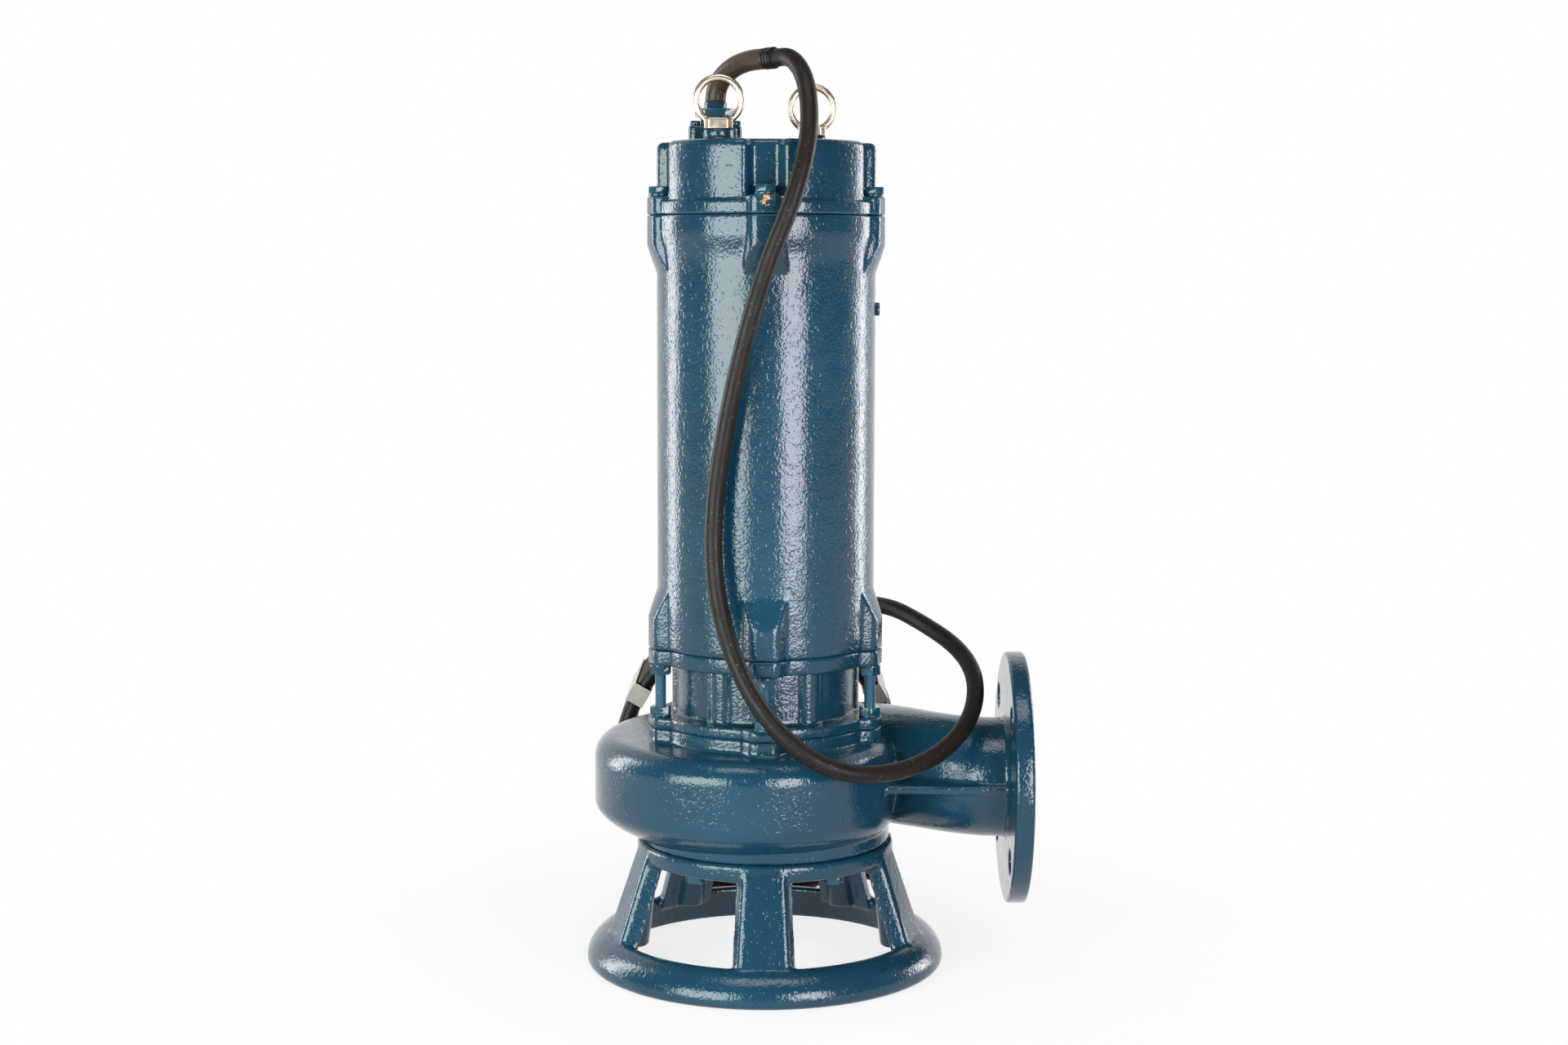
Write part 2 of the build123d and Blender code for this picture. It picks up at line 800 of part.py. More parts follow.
def make_casing_lugs(joint, end):
    """Five casing lugs from a joint face to their free end, which slopes back into the tube wall."""
    away = 1 if end > joint else -1
    reach = lug_reach + 4
    slope = lug_slope_length * (reach - casing_radius) / (lug_reach - casing_radius)
    inside = casing_radius - 4
    with BuildPart() as lugs:
        with BuildSketch(Plane.XY.offset(joint)) as outline:
            draw_lugs()
            round_lug_tips(outline)
        extrude(amount=end - joint)
        with BuildSketch(Plane.XZ):
            Polygon(
                (inside, joint),
                (reach, joint),
                (reach, end - away * slope),
                (casing_radius, end),
                (inside, end),
                align=None,
            )
        revolve(axis=Axis.Z, mode=Mode.INTERSECT)
    return lugs.part


def make_motor_casing():
    """Motor casing: a thick tube with a flared top collar and five sloping lugs at each end."""
    flare_end = casing_top - collar_flare_height
    flare_start = casing_top - upper_lug_length - lug_slope_length
    bracket_seat = casing_top - bracket_seat_depth
    upper_lugs = make_casing_lugs(casing_top, flare_start)
    lower_lugs = make_casing_lugs(casing_bottom, casing_bottom + lower_lug_length + lug_slope_length)
    with BuildPart() as motor_casing:
        with BuildSketch(Plane.XZ):
            with BuildLine():
                Polyline(
                    (collar_flare_radius, flare_end),
                    (collar_flare_radius, casing_top),
                    (casing_bore, casing_top),
                    (casing_bore, casing_bottom),
                    (casing_radius, casing_bottom),
                    (casing_radius, flare_start),
                )
                Bezier(
                    (casing_radius, flare_start),
                    (casing_radius, flare_start + 0.6 * (flare_end - flare_start)),
                    (collar_flare_radius, flare_end - 0.3 * (flare_end - flare_start)),
                    (collar_flare_radius, flare_end),
                )
            make_face()
        revolve(axis=Axis.Z)
        add(upper_lugs)
        add(lower_lugs)
        with BuildSketch(Plane.XZ):
            draw_ring(0, casing_bore, casing_bottom, casing_top)
            draw_ring(0, casing_bore + bracket_step, bracket_seat, casing_top)
        revolve(axis=Axis.Z, mode=Mode.SUBTRACT)
        with BuildSketch(Plane.XY.offset(casing_bottom)):
            draw_bolt_circle(thread_radius + thread_gap, stud_circle, front)
        extrude(amount=stud_engagement + 1, mode=Mode.SUBTRACT)
        with BuildSketch(Plane.XY.offset(casing_top)):
            draw_bolt_circle(thread_radius + thread_gap, stud_circle, front)
        extrude(amount=-cover_bolt_length + cover_pad, mode=Mode.SUBTRACT)
        with BuildSketch(Plane.YZ.offset(casing_radius - side_screw_depth)):
            with Locations((0, side_screw_height)):
                Circle(side_screw_radius + thread_gap)
        extrude(amount=2 * side_screw_depth, mode=Mode.SUBTRACT)
    return motor_casing.part


def make_side_screw():
    """Small round-headed screw in the side of the motor casing."""
    seat = casing_radius
    with BuildPart() as side_screw:
        with BuildSketch(Plane.YZ.offset(seat - side_screw_depth + 0.5)):
            with Locations((0, side_screw_height)):
                Circle(side_screw_radius)
        extrude(amount=side_screw_depth)
        with BuildSketch(Plane.YZ.offset(seat)):
            with Locations((0, side_screw_height)):
                Circle(2 * side_screw_radius)
        extrude(amount=side_screw_head)
    return side_screw.part


def make_top_cover():
    """Top cover: a deep cap with five flutes for the bolts, a lugged flange and a spigot."""
    roof = cover_top - cover_wall
    eye_x = eye_circle * cos(radians(eye_azimuth))
    eye_y = eye_circle * sin(radians(eye_azimuth))
    with BuildPart() as top_cover:
        with BuildSketch(Plane.XY.offset(casing_top)) as body:
            Circle(cover_radius)
            half_back = flute_back_width / 2
            half_mouth = flute_mouth_width / 2
            flare = (half_mouth - half_back) / (cover_radius - flute_back_radius)
            reach = cover_radius + 6
            half_reach = half_back + flare * (reach - flute_back_radius)
            with PolarLocations(0, lug_count, start_angle=front):
                Polygon(
                    (flute_back_radius, -half_back),
                    (reach, -half_reach),
                    (reach, half_reach),
                    (flute_back_radius, half_back),
                    align=None,
                    mode=Mode.SUBTRACT,
                )
            fillet(body.vertices(), flute_rounding)
        extrude(amount=cover_height)
        fillet(top_cover.edges().group_by(Axis.Z)[-1], cover_edge_radius)
        with BuildSketch(Plane.XY.offset(casing_top)) as rim:
            Circle(collar_flare_radius)
            draw_lugs()
            round_lug_tips(rim)
        extrude(amount=cover_flange)
        with BuildSketch(Plane.XY.offset(casing_top)) as pads:
            Circle(flute_back_radius)
            draw_lugs()
            round_lug_tips(pads)
        extrude(amount=cover_pad)
        with BuildSketch(Plane.XZ):
            spigot = casing_bore + bracket_step - fit_gap
            bottom = casing_top - bracket_seat_depth + bracket_thickness
            draw_ring(spigot - cover_spigot_wall, spigot, bottom, casing_top + 1)
        revolve(axis=Axis.Z)
        with BuildSketch(Plane.XZ):
            draw_ring(0, spigot - cover_spigot_wall, bottom, roof)
            groove_middle = casing_top - o_ring_width
            with Locations((spigot - o_ring_depth / 2, groove_middle)):
                Rectangle(o_ring_depth, o_ring_width)
        revolve(axis=Axis.Z, mode=Mode.SUBTRACT)
        with BuildSketch(Plane.XY.offset(cover_top)):
            with Locations((eye_x, eye_y), (-eye_x, -eye_y)):
                Circle(eye_shank_radius + 4.5)
        extrude(amount=-eye_shank_length - 2)
        with BuildSketch(Plane.XY.offset(cover_top)):
            with Locations((eye_x, eye_y), (-eye_x, -eye_y)):
                Circle(eye_shank_radius + thread_gap)
        extrude(amount=-eye_shank_length, mode=Mode.SUBTRACT)
        with BuildSketch(Plane.XY.offset(cover_top)):
            with Locations((eye_x, eye_y), (-eye_x, -eye_y)):
                Circle(eye_seat_radius)
                Circle(eye_shank_radius + thread_gap, mode=Mode.SUBTRACT)
        extrude(amount=eye_seat_height)
        with BuildSketch(Plane.XY.offset(cover_top)):
            with Locations((gland_x, gland_y)):
                Circle(cable_radius + clearance)
            with Locations(*gland_screw_places):
                Circle(gland_screw_radius + thread_gap)
        extrude(amount=-cover_wall, mode=Mode.SUBTRACT)
        with BuildSketch(Plane.XY.offset(casing_top)):
            draw_bolt_circle(thread_radius + clearance, stud_circle, front)
        extrude(amount=cover_pad, mode=Mode.SUBTRACT)
    return top_cover.part


def make_cover_washers():
    """Plain washers under the heads of the cover bolts."""
    with BuildPart() as cover_washers:
        with BuildSketch(Plane.XY.offset(casing_top + cover_pad)):
            draw_bolt_circle(washer_radius, stud_circle, front)
            draw_bolt_circle(thread_radius + thread_gap, stud_circle, front, Mode.SUBTRACT)
        extrude(amount=cover_washer_thickness)
    return cover_washers.part


def make_eyebolt(azimuth):
    """Lifting eyebolt: a ring that faces the front, a square collar with cut corners, and a shank."""
    x = eye_circle * cos(radians(azimuth))
    y = eye_circle * sin(radians(azimuth))
    seat = cover_top + eye_seat_height
    centre = cover_top + eye_centre_above
    with BuildPart() as eyebolt:
        with BuildSketch(Plane.XY.offset(seat)) as collar:
            with Locations((x, y)):
                Rectangle(eye_collar_width, eye_collar_width)
            chamfer(collar.vertices(), eye_collar_corner)
        extrude(amount=eye_collar_height)
        chamfer(eyebolt.faces().sort_by(Axis.Z)[-1].edges(), eye_collar_edge)
        with BuildSketch(Plane(origin=(x, y, centre), x_dir=(1, 0, 0), z_dir=(0, 0, 1))):
            with Locations((eye_ring_radius, 0)):
                Circle(eye_wire_radius)
        revolve(axis=Axis((x, y, centre), (0, 1, 0)))
        with BuildSketch(Plane.XY.offset(seat)):
            with Locations((x, y)):
                Circle(eye_shank_radius)
        extrude(amount=-eye_seat_height - eye_shank_length + 1)
    return eyebolt.part


def make_gland_flange():
    """Cable gland's flange: a rounded plate with a round thread in the middle and two screw holes."""
    with BuildPart() as gland_flange:
        with BuildSketch(Plane.XY.offset(cover_top)):
            with Locations((gland_x, gland_y)):
                RectangleRounded(gland_flange_length, gland_flange_width, gland_flange_corner)
        extrude(amount=gland_flange_height)
        chamfer(gland_flange.edges().group_by(Axis.Z)[-1], 1.2)
        with BuildSketch(Plane.XY.offset(cover_top)):
            with Locations((gland_x, gland_y)):
                Circle(gland_thread_radius)
            with Locations(*gland_screw_places):
                Circle(gland_screw_radius + clearance)
        extrude(amount=gland_flange_height, mode=Mode.SUBTRACT)
    return gland_flange.part


def make_gland_screws():
    """Two cheese-headed screws that hold the gland's flange on the cover."""
    seat = cover_top + gland_flange_height
    with BuildPart() as gland_screws:
        with BuildSketch(Plane.XY.offset(seat)):
            with Locations(*gland_screw_places):
                Circle(gland_screw_head)
        extrude(amount=1.6 * gland_screw_radius)
        with BuildSketch(Plane.XY.offset(seat)):
            with Locations(*gland_screw_places):
                Circle(gland_screw_radius)
        extrude(amount=-gland_flange_height - 0.9 * cover_wall)
    return gland_screws.part


def make_gland_nut():
    """Gland nut: a threaded shank, a collar, a hexagon and a short neck round the cable."""
    hexagon = cover_top + gland_nut_bottom
    shank_bottom = cover_top + gland_grommet_height
    with BuildPart() as gland_nut:
        with BuildSketch(Plane.XY.offset(shank_bottom)):
            with Locations((gland_x, gland_y)):
                Circle(gland_thread_radius - thread_gap)
        extrude(amount=gland_nut_bottom - gland_grommet_height)
        with BuildSketch(Plane.XY.offset(hexagon)):
            with Locations((gland_x, gland_y)):
                RegularPolygon(gland_nut_flats / 2, 6, major_radius=False)
        extrude(amount=gland_nut_height)
        with BuildSketch(Plane.XY.offset(hexagon)):
            with Locations((gland_x, gland_y)):
                Circle(gland_neck_radius)
        extrude(amount=gland_neck_top - gland_nut_bottom)
        with BuildSketch(Plane.XY.offset(shank_bottom)):
            with Locations((gland_x, gland_y)):
                Circle(cable_radius + thread_gap)
        extrude(amount=gland_neck_top, mode=Mode.SUBTRACT)
    return gland_nut.part


def make_gland_grommet():
    """Rubber ring that the gland nut presses round the cable."""
    with BuildPart() as gland_grommet:
        with BuildSketch(Plane.XY.offset(cover_top)):
            with Locations((gland_x, gland_y)):
                Circle(gland_thread_radius - thread_gap)
                Circle(cable_radius + thread_gap, mode=Mode.SUBTRACT)
        extrude(amount=gland_grommet_height)
    return gland_grommet.part


def make_inner_cable():
    """The end of the cable inside the cover, with its cut sheath, below the gland's neck."""
    bottom = cover_top - cover_wall - inner_cable_length
    with BuildPart() as inner_cable:
        with BuildSketch(Plane.XY.offset(bottom)):
            with Locations((gland_x, gland_y)):
                Circle(cable_radius)
        extrude(amount=cover_top + gland_neck_top - bottom)
        with BuildSketch(Plane.XY.offset(bottom)):
            with Locations((gland_x, gland_y)):
                with PolarLocations(core_radius * 1.42, 4, start_angle=45):
                    Circle(core_radius - 0.1)
        extrude(amount=-inner_core_length)
    return inner_cable.part


def corner_radii(points):
    """Largest arc at each corner of a route: 0.45 of its shorter run over the tangent of half the turn."""
    radii = []
    for before, corner, after in zip(points, points[1:], points[2:]):
        run_in = Vector(*corner) - Vector(*before)
        run_out = Vector(*after) - Vector(*corner)
        half_turn = radians(run_in.get_angle(run_out)) / 2
        radii.append(0.45 * min(run_in.length, run_out.length) / tan(half_turn))
    return radii


def make_tube(points, radius):
    """Round tube along straight runs joined by tangent arcs."""
    radii = corner_radii(points)
    print("corner radii", [round(value) for value in radii])
    with BuildPart() as tube:
        with BuildLine() as route:
            FilletPolyline(*points, radius=radii)
        start = Vector(*points[0])
        with BuildSketch(Plane(origin=start, z_dir=Vector(*points[1]) - start)):
            Circle(radius)
        sweep()
    length = sum(edge.length for edge in route.edges())
    share = tube.part.volume / (pi * radius**2 * length)
    print("tube length", round(length), "volume share", round(share, 4))
    return tube.part


def make_band():
    """Black band round the joint of the sleeve and the cable."""
    before, after = Vector(*sleeve_route[-1]), Vector(*cable_route[0])
    with BuildPart() as cable_band:
        with BuildSketch(Plane(origin=before, z_dir=after - before)):
            Circle(band_radius)
        extrude(amount=(after - before).length)
    return cable_band.part


def make_coil():
    """The outer shape of the coil: a ring that stands on the floor behind the pump."""
    depth = coil_turns * 2 * cable_radius
    with BuildPart() as cable_coil:
        with BuildSketch(Plane.XZ.offset(-coil_front)):
            with Locations((coil_x, coil_radius)):
                Circle(coil_radius)
                Circle(coil_radius - 2 * cable_radius, mode=Mode.SUBTRACT)
        extrude(amount=-depth)
    return cable_coil.part


def make_coil_ties():
    """Three bands that hold the turns of the coil together."""
    depth = coil_turns * 2 * cable_radius
    inner = coil_radius - 2 * cable_radius
    slot = cable_radius + tie_gap
    tie = slot + tie_thickness
    with BuildPart() as coil_ties:
        for azimuth in coil_tie_azimuths:
            angle = radians(azimuth)
            outward = (cos(angle), 0, sin(angle))
            centre = (coil_x, coil_front + depth / 2, coil_radius)
            with BuildSketch(Plane(origin=centre, x_dir=outward, z_dir=(-sin(angle), 0, cos(angle)))):
                with Locations((inner + cable_radius, 0)):
                    Rectangle(2 * tie, depth + 2 * (tie_gap + tie_thickness))
                    Rectangle(2 * slot, depth + 2 * tie_gap, mode=Mode.SUBTRACT)
            extrude(amount=tie_width / 2, both=True)
    return coil_ties.part


def make_cores():
    """Four bare cores at the free end of the cable."""
    with BuildPart() as cable_cores:
        end = Vector(*tail_route[-1])
        along = end - Vector(*tail_route[-2])
        with BuildSketch(Plane(origin=end, z_dir=along)):
            with PolarLocations(core_radius * 1.5, 4, start_angle=45):
                Circle(core_radius)
        extrude(amount=core_length)
    return cable_cores.part


def make_bearing(bore, outer, width, bottom):
    """Deep groove ball bearing: outer race, inner race, and the balls joined by their cage."""
    pitch = (bore + outer) / 2
    ball = 0.28 * (outer - bore)
    shoulder = 0.45 * ball
    middle = bottom + width / 2
    with BuildPart() as outer_race:
        with BuildSketch(Plane.XZ):
            draw_ring(pitch + shoulder, outer - thread_gap, bottom, bottom + width)
            with Locations((pitch, middle)):
                Circle(ball + race_gap, mode=Mode.SUBTRACT)
        revolve(axis=Axis.Z)
    with BuildPart() as inner_race:
        with BuildSketch(Plane.XZ):
            draw_ring(bore + thread_gap, pitch - shoulder, bottom, bottom + width)
            with Locations((pitch, middle)):
                Circle(ball + race_gap, mode=Mode.SUBTRACT)
        revolve(axis=Axis.Z)
    with BuildPart() as balls:
        with BuildSketch(Plane.XZ):
            with Locations((pitch, middle)):
                Rectangle(0.3 * ball, 1.4 * ball)
        revolve(axis=Axis.Z)
        with Locations((0, 0, middle)):
            with PolarLocations(pitch, ball_count):
                Sphere(ball)
    return outer_race.part, inner_race.part, balls.part


def make_upper_bearing_bracket():
    """Bracket that carries the upper bearing, clamped between the casing's step and the cover."""
    seat = casing_top - bracket_seat_depth
    top = seat + bracket_thickness
    with BuildPart() as bracket:
        with BuildSketch(Plane.XZ):
            draw_ring(0, casing_bore + bracket_step - fit_gap, seat, top)
            draw_ring(0, upper_bearing_radius + hub_wall, upper_bearing_bottom, top)
        revolve(axis=Axis.Z)
        with BuildSketch(Plane.XZ):
            wave_top = upper_bearing_bottom + upper_bearing_width + wave_washer_height
            draw_ring(0, upper_bearing_radius, upper_bearing_bottom, wave_top)
            draw_ring(0, upper_bearing_bore + 4, upper_bearing_bottom, top)
        revolve(axis=Axis.Z, mode=Mode.SUBTRACT)
        with BuildSketch(Plane.XY.offset(top)):
            with PolarLocations(bracket_window_circle, lug_count, start_angle=between):
                Circle(bracket_window_radius)
        extrude(amount=-bracket_thickness, mode=Mode.SUBTRACT)
    return bracket.part


def make_stator_core():
    """Stack of stator laminations: a round core with a ring of slots."""
    with BuildPart() as stator_core:
        with BuildSketch(Plane.XY.offset(stator_bottom)):
            Circle(casing_bore - fit_gap)
            Circle(stator_bore, mode=Mode.SUBTRACT)
            with PolarLocations(stator_bore + slot_tooth + slot_depth / 2, slot_count):
                Rectangle(slot_depth, slot_width, mode=Mode.SUBTRACT)
        extrude(amount=stator_length)
    return stator_core.part


def make_stator_winding():
    """Stator winding: a bar in every slot, joined by a round end winding at each end."""
    slot_middle = stator_bore + slot_tooth + slot_depth / 2
    ring_width = winding_outer_radius - winding_inner_radius
    top = stator_bottom + stator_length
    with BuildPart() as winding:
        with BuildSketch(Plane.XZ):
            for middle in (stator_bottom - winding_overhang / 2, top + winding_overhang / 2):
                with Locations((winding_inner_radius + ring_width / 2, middle)):
                    RectangleRounded(ring_width, winding_overhang, 4)
        revolve(axis=Axis.Z)
        with BuildSketch(Plane.XY.offset(stator_bottom - 5)):
            with PolarLocations(slot_middle, slot_count):
                Rectangle(slot_depth - 2 * thread_gap, slot_width - 2 * thread_gap)
        extrude(amount=stator_length + 10)
    return winding.part


def make_rotor_core():
    """Rotor laminations with the cage's end rings."""
    rotor_radius = stator_bore - air_gap
    with BuildPart() as rotor_core:
        with BuildSketch(Plane.XZ):
            draw_ring(shaft_radius, rotor_radius, stator_bottom, stator_bottom + stator_length)
            ring_bottoms = (stator_bottom - end_ring_height, stator_bottom + stator_length)
            for bottom in ring_bottoms:
                draw_ring(0.6 * rotor_radius, 0.95 * rotor_radius, bottom, bottom + end_ring_height)
        revolve(axis=Axis.Z)
    return rotor_core.part


def make_shaft():
    """Stepped shaft from the impeller up to the upper bearing."""
    upper_end = upper_bearing_bottom + upper_bearing_width + 1
    rotor_top = stator_bottom + stator_length + end_ring_height
    race_bottom = bearing_bottom - circlip_width - 0.6
    steps = (
        (impeller_shaft_radius, impeller_hub_bottom, impeller_hub_top),
        (seal_shaft_radius, impeller_hub_top, race_bottom),
        (lower_bearing_bore, race_bottom, bearing_bottom + lower_bearing_width),
        (shaft_radius, bearing_bottom + lower_bearing_width, rotor_top + 20),
        (upper_bearing_bore + 4, rotor_top + 20, upper_bearing_bottom),
        (upper_bearing_bore, upper_bearing_bottom, upper_end),
    )
    with BuildPart() as shaft:
        for radius, bottom, top in steps:
            with BuildSketch(Plane.XY.offset(bottom)):
                Circle(radius)
            extrude(amount=top - bottom)
        with BuildSketch(Plane.XY.offset(impeller_hub_bottom)):
            Circle(impeller_bolt_radius + thread_gap)
        extrude(amount=impeller_bolt_length, mode=Mode.SUBTRACT)
        with BuildSketch(Plane.XY.offset(key_bottom)):
            with Locations((impeller_shaft_radius, 0)):
                Rectangle(key_height, key_width)
        extrude(amount=key_length, mode=Mode.SUBTRACT)
    return shaft.part


def make_key():
    """Square key between the shaft and the impeller hub."""
    with BuildPart() as key:
        with BuildSketch(Plane.XY.offset(key_bottom)):
            with Locations((impeller_shaft_radius, 0)):
                Rectangle(key_height - 0.1, key_width - 0.1)
        extrude(amount=key_length - 0.2)
    return key.part


def vane_edge(start_angle, wrap):
    """Points of one spiral edge of a vane, from near the hub to the rim."""
    points = []
    for step in range(vane_steps + 1):
        share = step / vane_steps
        radius = vane_start_radius * ((impeller_radius - 0.2) / vane_start_radius) ** share
        angle = radians(start_angle + wrap * share)
        points.append((radius * cos(angle), radius * sin(angle)))
    return points


def make_impeller():
    """Closed channel impeller: two long spiral vanes between a back shroud and a ported front shroud."""
    front_shroud = impeller_bottom + wear_ring_height + shroud_lift
    vane_bottom = front_shroud + shroud_thickness
    vane_top = vane_bottom + impeller_vane_height
    back_top = vane_top + shroud_thickness
    with BuildPart() as impeller:
        with BuildSketch(Plane.XZ):
            draw_ring(impeller_eye_radius, impeller_neck_radius, impeller_bottom, vane_bottom)
            draw_ring(impeller_eye_radius, impeller_radius, front_shroud, vane_bottom)
            draw_ring(0, impeller_radius, vane_top, back_top)
            draw_ring(0, impeller_hub_radius, impeller_hub_bottom, impeller_hub_top)
        revolve(axis=Axis.Z)
        with BuildSketch(Plane.XY.offset(vane_bottom - 1)):
            for start in (0, 180):
                leading = vane_edge(start, vane_wrap)
                trailing = vane_edge(start + vane_spread, vane_wrap - vane_taper)
                with BuildLine():
                    Spline(*leading)
                    Line(leading[-1], trailing[-1])
                    Spline(*trailing)
                    Line(trailing[0], leading[0])
                make_face()
        extrude(amount=impeller_vane_height + 2)
        with BuildSketch(Plane.XY.offset(impeller_hub_bottom)):
            Circle(impeller_shaft_radius + thread_gap)
            with Locations((impeller_shaft_radius, 0)):
                Rectangle(key_height, key_width)
        extrude(amount=impeller_hub_top - impeller_hub_bottom, mode=Mode.SUBTRACT)
    return impeller.part


def make_impeller_bolt():
    """Hexagon bolt that draws the impeller onto the shaft."""
    seat = impeller_hub_bottom - impeller_washer_thickness
    with BuildPart() as bolt:
        with BuildSketch(Plane.XY.offset(seat)):
            RegularPolygon(impeller_bolt_flats / 2, 6, major_radius=False)
        extrude(amount=-impeller_bolt_head)
        with BuildSketch(Plane.XY.offset(seat)):
            Circle(impeller_bolt_radius)
        extrude(amount=impeller_bolt_length - 1)
    return bolt.part


def make_seal_spring():
    """The coiled spring between the two rotating seal heads, as its closed outline."""
    inner = seal_shaft_radius + seal_head_gap + 0.6
    return make_ring(inner, inner + seal_spring_wall, lower_head_top, upper_head_bottom)


os.makedirs("parts", exist_ok=True)

save(make_base_stand(), "base_stand")
save(make_volute_casing(), "volute_casing")
base_bolt_length = stand_ring_thickness + base_bolt_engagement - 1
save(
    make_hex_bolts(
        stand_height - stand_ring_thickness,
        -1,
        base_bolt_circle,
        between,
        base_bolt_length,
        nut_flats,
        nut_height,
    ),
    "base_bolts",
)
wear_ring_bottom = passage_floor - wear_ring_height
wear_ring_bore = impeller_neck_radius + running_gap
save(make_ring(wear_ring_bore, wear_ring_radius - fit_gap, wear_ring_bottom, passage_floor), "wear_ring")
save(make_oil_chamber(), "oil_chamber")
save(make_oil_plug(), "oil_plug")
save(make_bearing_housing(), "bearing_housing")
save(make_bearing_cover(), "bearing_cover")
save(make_bearing_cover_screws(), "bearing_cover_screws")
save(make_studs(), "studs")
save(make_nuts(chamber_floor, True), "lower_nuts")
save(make_nuts(chamber_top - nut_height - washer_thickness, False), "upper_nuts")

save(make_motor_casing(), "motor_casing")
save(make_side_screw(), "side_screw")
save(make_top_cover(), "top_cover")
save(make_cover_washers(), "cover_washers")
cover_bolt_seat = casing_top + cover_pad + cover_washer_thickness
save(
    make_hex_bolts(cover_bolt_seat, 1, stud_circle, front, cover_bolt_length, nut_flats, cover_bolt_head),
    "cover_bolts",
)
save(make_eyebolt(eye_azimuth), "eyebolt_front")
save(make_eyebolt(eye_azimuth + 180), "eyebolt_rear")
save(make_gland_flange(), "gland_flange")
save(make_gland_screws(), "gland_screws")
save(make_gland_nut(), "gland_nut")
save(make_gland_grommet(), "gland_grommet")

save(make_inner_cable(), "inner_cable")
save(make_tube(sleeve_route, sleeve_radius), "cable_sleeve")
save(make_band(), "cable_band")
save(make_tube(cable_route, cable_radius), "power_cable")
save(make_coil(), "cable_coil")
save(make_coil_ties(), "coil_ties")
save(make_tube(tail_route, cable_radius), "cable_tail")
save(make_cores(), "cable_cores")

lower_bearing = make_bearing(lower_bearing_bore, lower_bearing_radius, lower_bearing_width, bearing_bottom)
for piece, name in zip(lower_bearing, ("lower_outer_race", "lower_inner_race", "lower_balls")):
    save(piece, name)
upper_bearing = make_bearing(
    upper_bearing_bore, upper_bearing_radius, upper_bearing_width, upper_bearing_bottom
)
for piece, name in zip(upper_bearing, ("upper_outer_race", "upper_inner_race", "upper_balls")):
    save(piece, name)
circlip_bottom = bearing_bottom - circlip_width
circlip_bore = lower_bearing_bore + thread_gap
save(make_ring(circlip_bore, lower_bearing_bore + 3, circlip_bottom, bearing_bottom), "circlip")
wave_bottom = upper_bearing_bottom + upper_bearing_width
wave_outer = upper_bearing_radius - clearance / 2
save(make_ring(wave_outer - 5, wave_outer, wave_bottom, wave_bottom + wave_washer_height), "wave_washer")
save(make_upper_bearing_bracket(), "upper_bearing_bracket")
save(make_stator_core(), "stator_core")
save(make_stator_winding(), "stator_winding")
save(make_rotor_core(), "rotor_core")
save(make_shaft(), "shaft")

save(make_impeller(), "impeller")
save(make_key(), "impeller_key")
save(make_impeller_bolt(), "impeller_bolt")
washer_bottom = impeller_hub_bottom - impeller_washer_thickness
washer_bore = impeller_bolt_radius + thread_gap
save(make_ring(washer_bore, impeller_washer_radius, washer_bottom, impeller_hub_bottom), "impeller_washer")

seat_bore = seal_shaft_radius + shaft_clearance
head_bore = seal_shaft_radius + seal_head_gap
seat_outer = seal_seat_radius - fit_gap
lower_seat_bottom = seal_seat_top - seal_seat_height
upper_seat_top = chamber_top + seal_pocket_depth
upper_seat_bottom = upper_head_top + seal_face_gap
save(make_ring(seat_bore, seat_outer, lower_seat_bottom, seal_seat_top + 1), "lower_seal_seat")
save(
    make_ring(head_bore, seal_head_radius, seal_seat_top + 1 + seal_face_gap, lower_head_top),
    "lower_seal_head",
)
save(make_seal_spring(), "seal_spring")
save(make_ring(head_bore, seal_head_radius, upper_head_bottom, upper_head_top), "upper_seal_head")
save(make_ring(seat_bore, seat_outer, upper_seat_bottom, upper_seat_top), "upper_seal_seat")

chamber_spigot = opening_radius - fit_gap
save(
    make_o_ring(chamber_spigot - o_ring_depth, opening_radius, volute_top - spigot_depth / 2),
    "volute_o_ring",
)
plug_radius = chamber_radius - chamber_wall
save(
    make_o_ring(plug_radius - fit_gap - o_ring_depth, plug_radius, chamber_top - spigot_depth / 2),
    "chamber_o_ring",
)
casing_spigot = casing_bore - fit_gap
save(
    make_o_ring(casing_spigot - o_ring_depth, casing_bore, casing_bottom + spigot_depth / 2),
    "casing_o_ring",
)
cover_bore = casing_bore + bracket_step
save(make_o_ring(cover_bore - fit_gap - o_ring_depth, cover_bore, casing_top - o_ring_width), "cover_o_ring")
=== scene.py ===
"""Sewage pump on its ring stand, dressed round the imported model. All lengths are in metres."""
import json
import math

import bmesh
import bpy
from mathutils import Matrix, Vector

